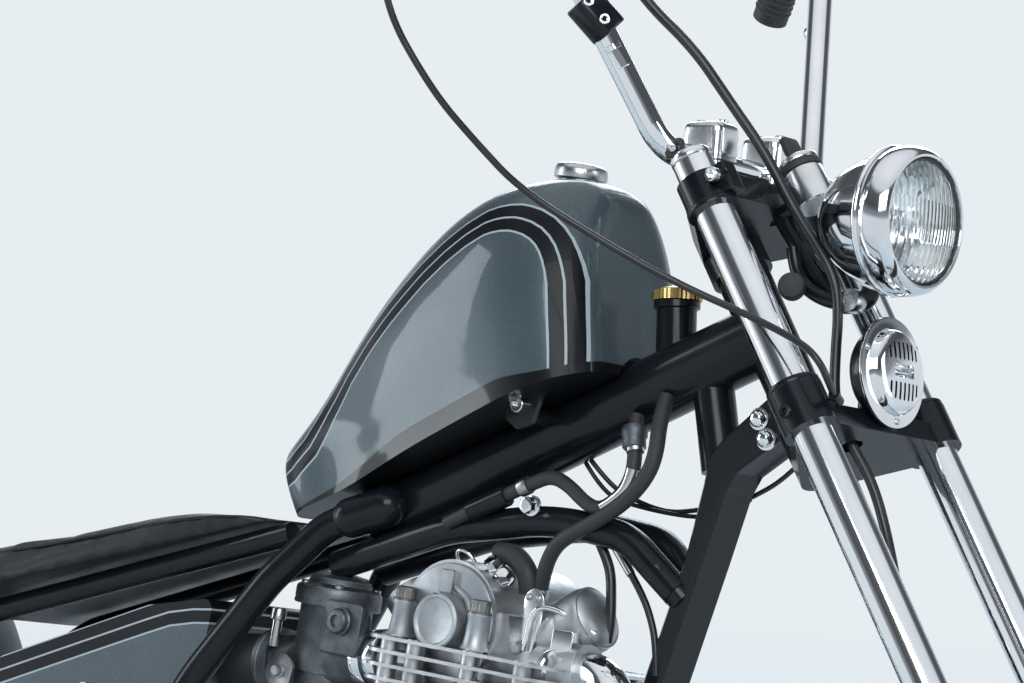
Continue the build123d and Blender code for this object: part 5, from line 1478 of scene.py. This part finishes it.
# %% Filler caps
rings = turned_piece("fuel_cap_turned", [
    (0, 0), (19.6, 0), (19.6, 7), (21.6, 8), (23.2, 9.6), (23.8, 12), (23.2, 14.4), (21.4, 15.6),
    (19.4, 16.2), (19, 18.2), (21.6, 19), (23.6, 20.6), (24, 23.6), (23.8, 28), (22.6, 31),
    (20.2, 33), (16, 34), (0, 34.4)], 72)
settle(rings, "frame", "steel", "fuel_cap", place=aimed(mm(955, 0, 1006), straight_up), smooth=35)
neck_axis = (Vector((1084, 0, 922)) - Vector((1094, 0, 860))).normalized()
neck = aimed(mm(1084, 0, 922), neck_axis)
collar = turned_piece("oil_neck_collar", [
    (0, 0.2), (19.4, 0.2), (20.4, 1), (20.4, 6.2), (19.4, 7.2), (0, 7.2)], 56)
settle(collar, "frame", "frame_black", place=neck)
knurl = []
for turn in range(72):
    angle = turn * pi / 36
    reach = 22 if turn % 2 else 21.2
    knurl.append((reach * cos(angle), reach * sin(angle)))
brass = pressed_piece("oil_cap_ring", knurl, 8.6, edge=0)
brass.data.transform(Matrix.Translation(mm(0, 0, 7.4)))
crown = turned_piece("oil_cap_crown", [
    (0, 15.8), (20.8, 15.8), (20.4, 17), (18.6, 17.8), (17, 17.4), (16.4, 16.8), (0, 16.6)], 56)
settle(joined("oil_cap_ring", [brass, crown]), "frame", "cap_brass", "oil_filler_cap", place=neck,
       smooth=30)
print("filler caps turned and knurled")

# %% [markdown]
# A slide carburettor shows its parts: the lid's lip with its screws, a plug on its boss, the bell's
# rolled edge, the throttle quadrant and the idle screw. Bright clamps hold its rubber sleeve.

# %% Carburettor fittings
# The lid, plug, boss and bell rim wear the carburettor's alloy, whose dark tone is painted shade.
lid = turned_piece("carb_lid", [
    (0, 616), (38.6, 616), (39.6, 617.2), (39.6, 619.6), (38.8, 620.6), (39.4, 622), (39.4, 630),
    (38.2, 632.6), (35, 634.4), (29.6, 636.6), (27.6, 641.6), (23, 645.2), (12, 647),
    (0, 647.2)], 64)
settle(lid, "frame", "carb_alloy_painted_shade", place=Matrix.Translation(mm(768, -20, 0)), smooth=30)
lid_screw = socket_screw("carb_lid_screws", 4.2, 3.6)
lid_turns = [radians(turn) for turn in (-120, -50, 40, 130)]
lid_places = [Matrix.Translation(mm(768 + 33 * cos(turn), -20 + 33 * sin(turn), 633.6))
              for turn in lid_turns]
settle(repeated(lid_screw, lid_places), "frame", "steel")
plug_cap = turned_piece("carb_plug", [
    (0, 0), (13, 0), (13, 2.6), (11.6, 3.4), (10.8, 6.4), (9.6, 7.6), (6, 7.8), (5.6, 5.6),
    (0, 5.6)], 36)
settle(plug_cap, "frame", "carb_alloy_painted_shade", place=right_side(806, -55, 606))
boss_block = pressed_piece("carb_boss", rounded_box(46, 48, 5, 806, 600), 10, edge=2, segments=3)
settle(boss_block, "frame", "carb_alloy_painted_shade", place=right_side(0, -44.6, 0))
bell_rim = turned_piece("carb_bell_rim", [
    (26.8, -3), (30.6, -3), (32, -1.6), (32, 1.4), (30.4, 3), (26.8, 3), (26.8, -3)], 56)
bell_axis = (Vector((706, -24, 556.5)) - Vector((768, -24, 559))).normalized()
settle(bell_rim, "frame", "carb_alloy_painted_shade", place=aimed(mm(709, -24, 556.6), bell_axis))
band = turned_piece("sleeve_bands", [
    (25.2, -6), (26.6, -6), (27, -5), (27, 5), (26.6, 6), (25.2, 6), (25.2, -6)], 48)
inlet_axis = (Vector((846, -24, 580)) - Vector((708, -24, 556))).normalized()
band_places = [aimed(mm(708 + 138 * share, -24, 556 + 24 * share), inlet_axis)
               for share in (0.83, 0.95)]
settle(repeated(band, band_places), "frame", "chrome")
quadrant_outline = arc(746, 552, 17, 20, 290, 18) + [(740, 520), (756, 516)]
quadrant = pressed_piece("throttle_quadrant", quadrant_outline, 4, edge=0.8)
settle(quadrant, "frame", "steel", place=right_side(0, -56, 0))
quadrant_nut = hex_screw("quadrant_nut", 9, 5, 1.4)
settle(quadrant_nut, "frame", "steel", place=right_side(746, -60, 552))
idle = turned_piece("idle_screw", [
    (0, 0), (4.6, 0), (4.6, 24), (7, 25), (7, 34), (6, 35.4), (0, 35.4)], 24)
settle(idle, "frame", "steel", place=aimed(mm(724, -48, 572), straight_up))
print("carburettor lid, plug, bell, bands and quadrant")

# %% [markdown]
# The rest of the motorcycle gets its trim too: ribs on the grips, clamps on the exhaust, a rolled
# tip on the muffler, and a ring of screws round each of the engine's covers.

# %% Trim all round
grip_rib = turned_piece("grip_ribs", [
    (16.4, -1.5), (17.5, -1.5), (18.1, 0), (17.5, 1.5), (16.4, 1.5), (16.4, -1.5)], 32)
grip_foot, grip_end = mm(869, -354, 1237), mm(914.2, -319.96, 1319.4)
grip_along = (grip_foot - grip_end).normalized()
rib_places = [aimed(grip_foot - grip_along * (step / 1000), grip_along) for step in range(8, 98, 6)]
settle(both_sides(repeated(grip_rib, rib_places)), "steering", "black_rubber")
clamp = turned_piece("exhaust_clamps", [
    (19.2, -7), (21.4, -7), (22, -6), (22, 6), (21.4, 7), (19.2, 7), (19.2, -7)], 40)
clamp_places = [aimed(mm(1060, -52, 601), Vector((1, -0.2, 0))),
                aimed(mm(640, -141.4, 150.6), Vector((-1, -0.05, 0.03)))]
settle(repeated(clamp, clamp_places), "frame", "chrome")
tip = turned_piece("muffler_tip", [
    (30, -4), (39.6, -4), (40.4, -2), (40.4, 3), (38.6, 5.4), (32, 5.8), (30, 4), (30, -4)], 56)
muffler_along = (Vector((90, -164, 190)) - Vector((600, -142, 152))).normalized()
settle(tip, "frame", "chrome", place=aimed(mm(92, -163.9, 189.9), muffler_along))
cover_screw = socket_screw("cover_screws", 4.6, 4.8)
cover_y = 118.15
front_turns, rear_turns = (-75, -35, 5, 45, 85, 125), (110, 160, 210, 260)
cover_places = []
for side, front_reach, rear_reach, rear_x in ((-1, 73, 55, 850), (1, 77, 73, 790)):
    rounds = ((950, 325, front_reach, front_turns), (rear_x, 317, rear_reach, rear_turns))
    for x, z, reach, turns in rounds:
        for turn in [radians(turn) for turn in turns]:
            spot = mm(x + reach * cos(turn), side * cover_y, z + reach * sin(turn))
            cover_places.append(aimed(spot, Vector((0, side, 0))))
settle(repeated(cover_screw, cover_places), "frame", "steel")
print("grips, exhaust, muffler and", len(cover_places), "cover screws")

# %% [markdown]
# At the end the selection is cleared.

# %% Finish
bpy.ops.object.select_all(action="DESELECT")
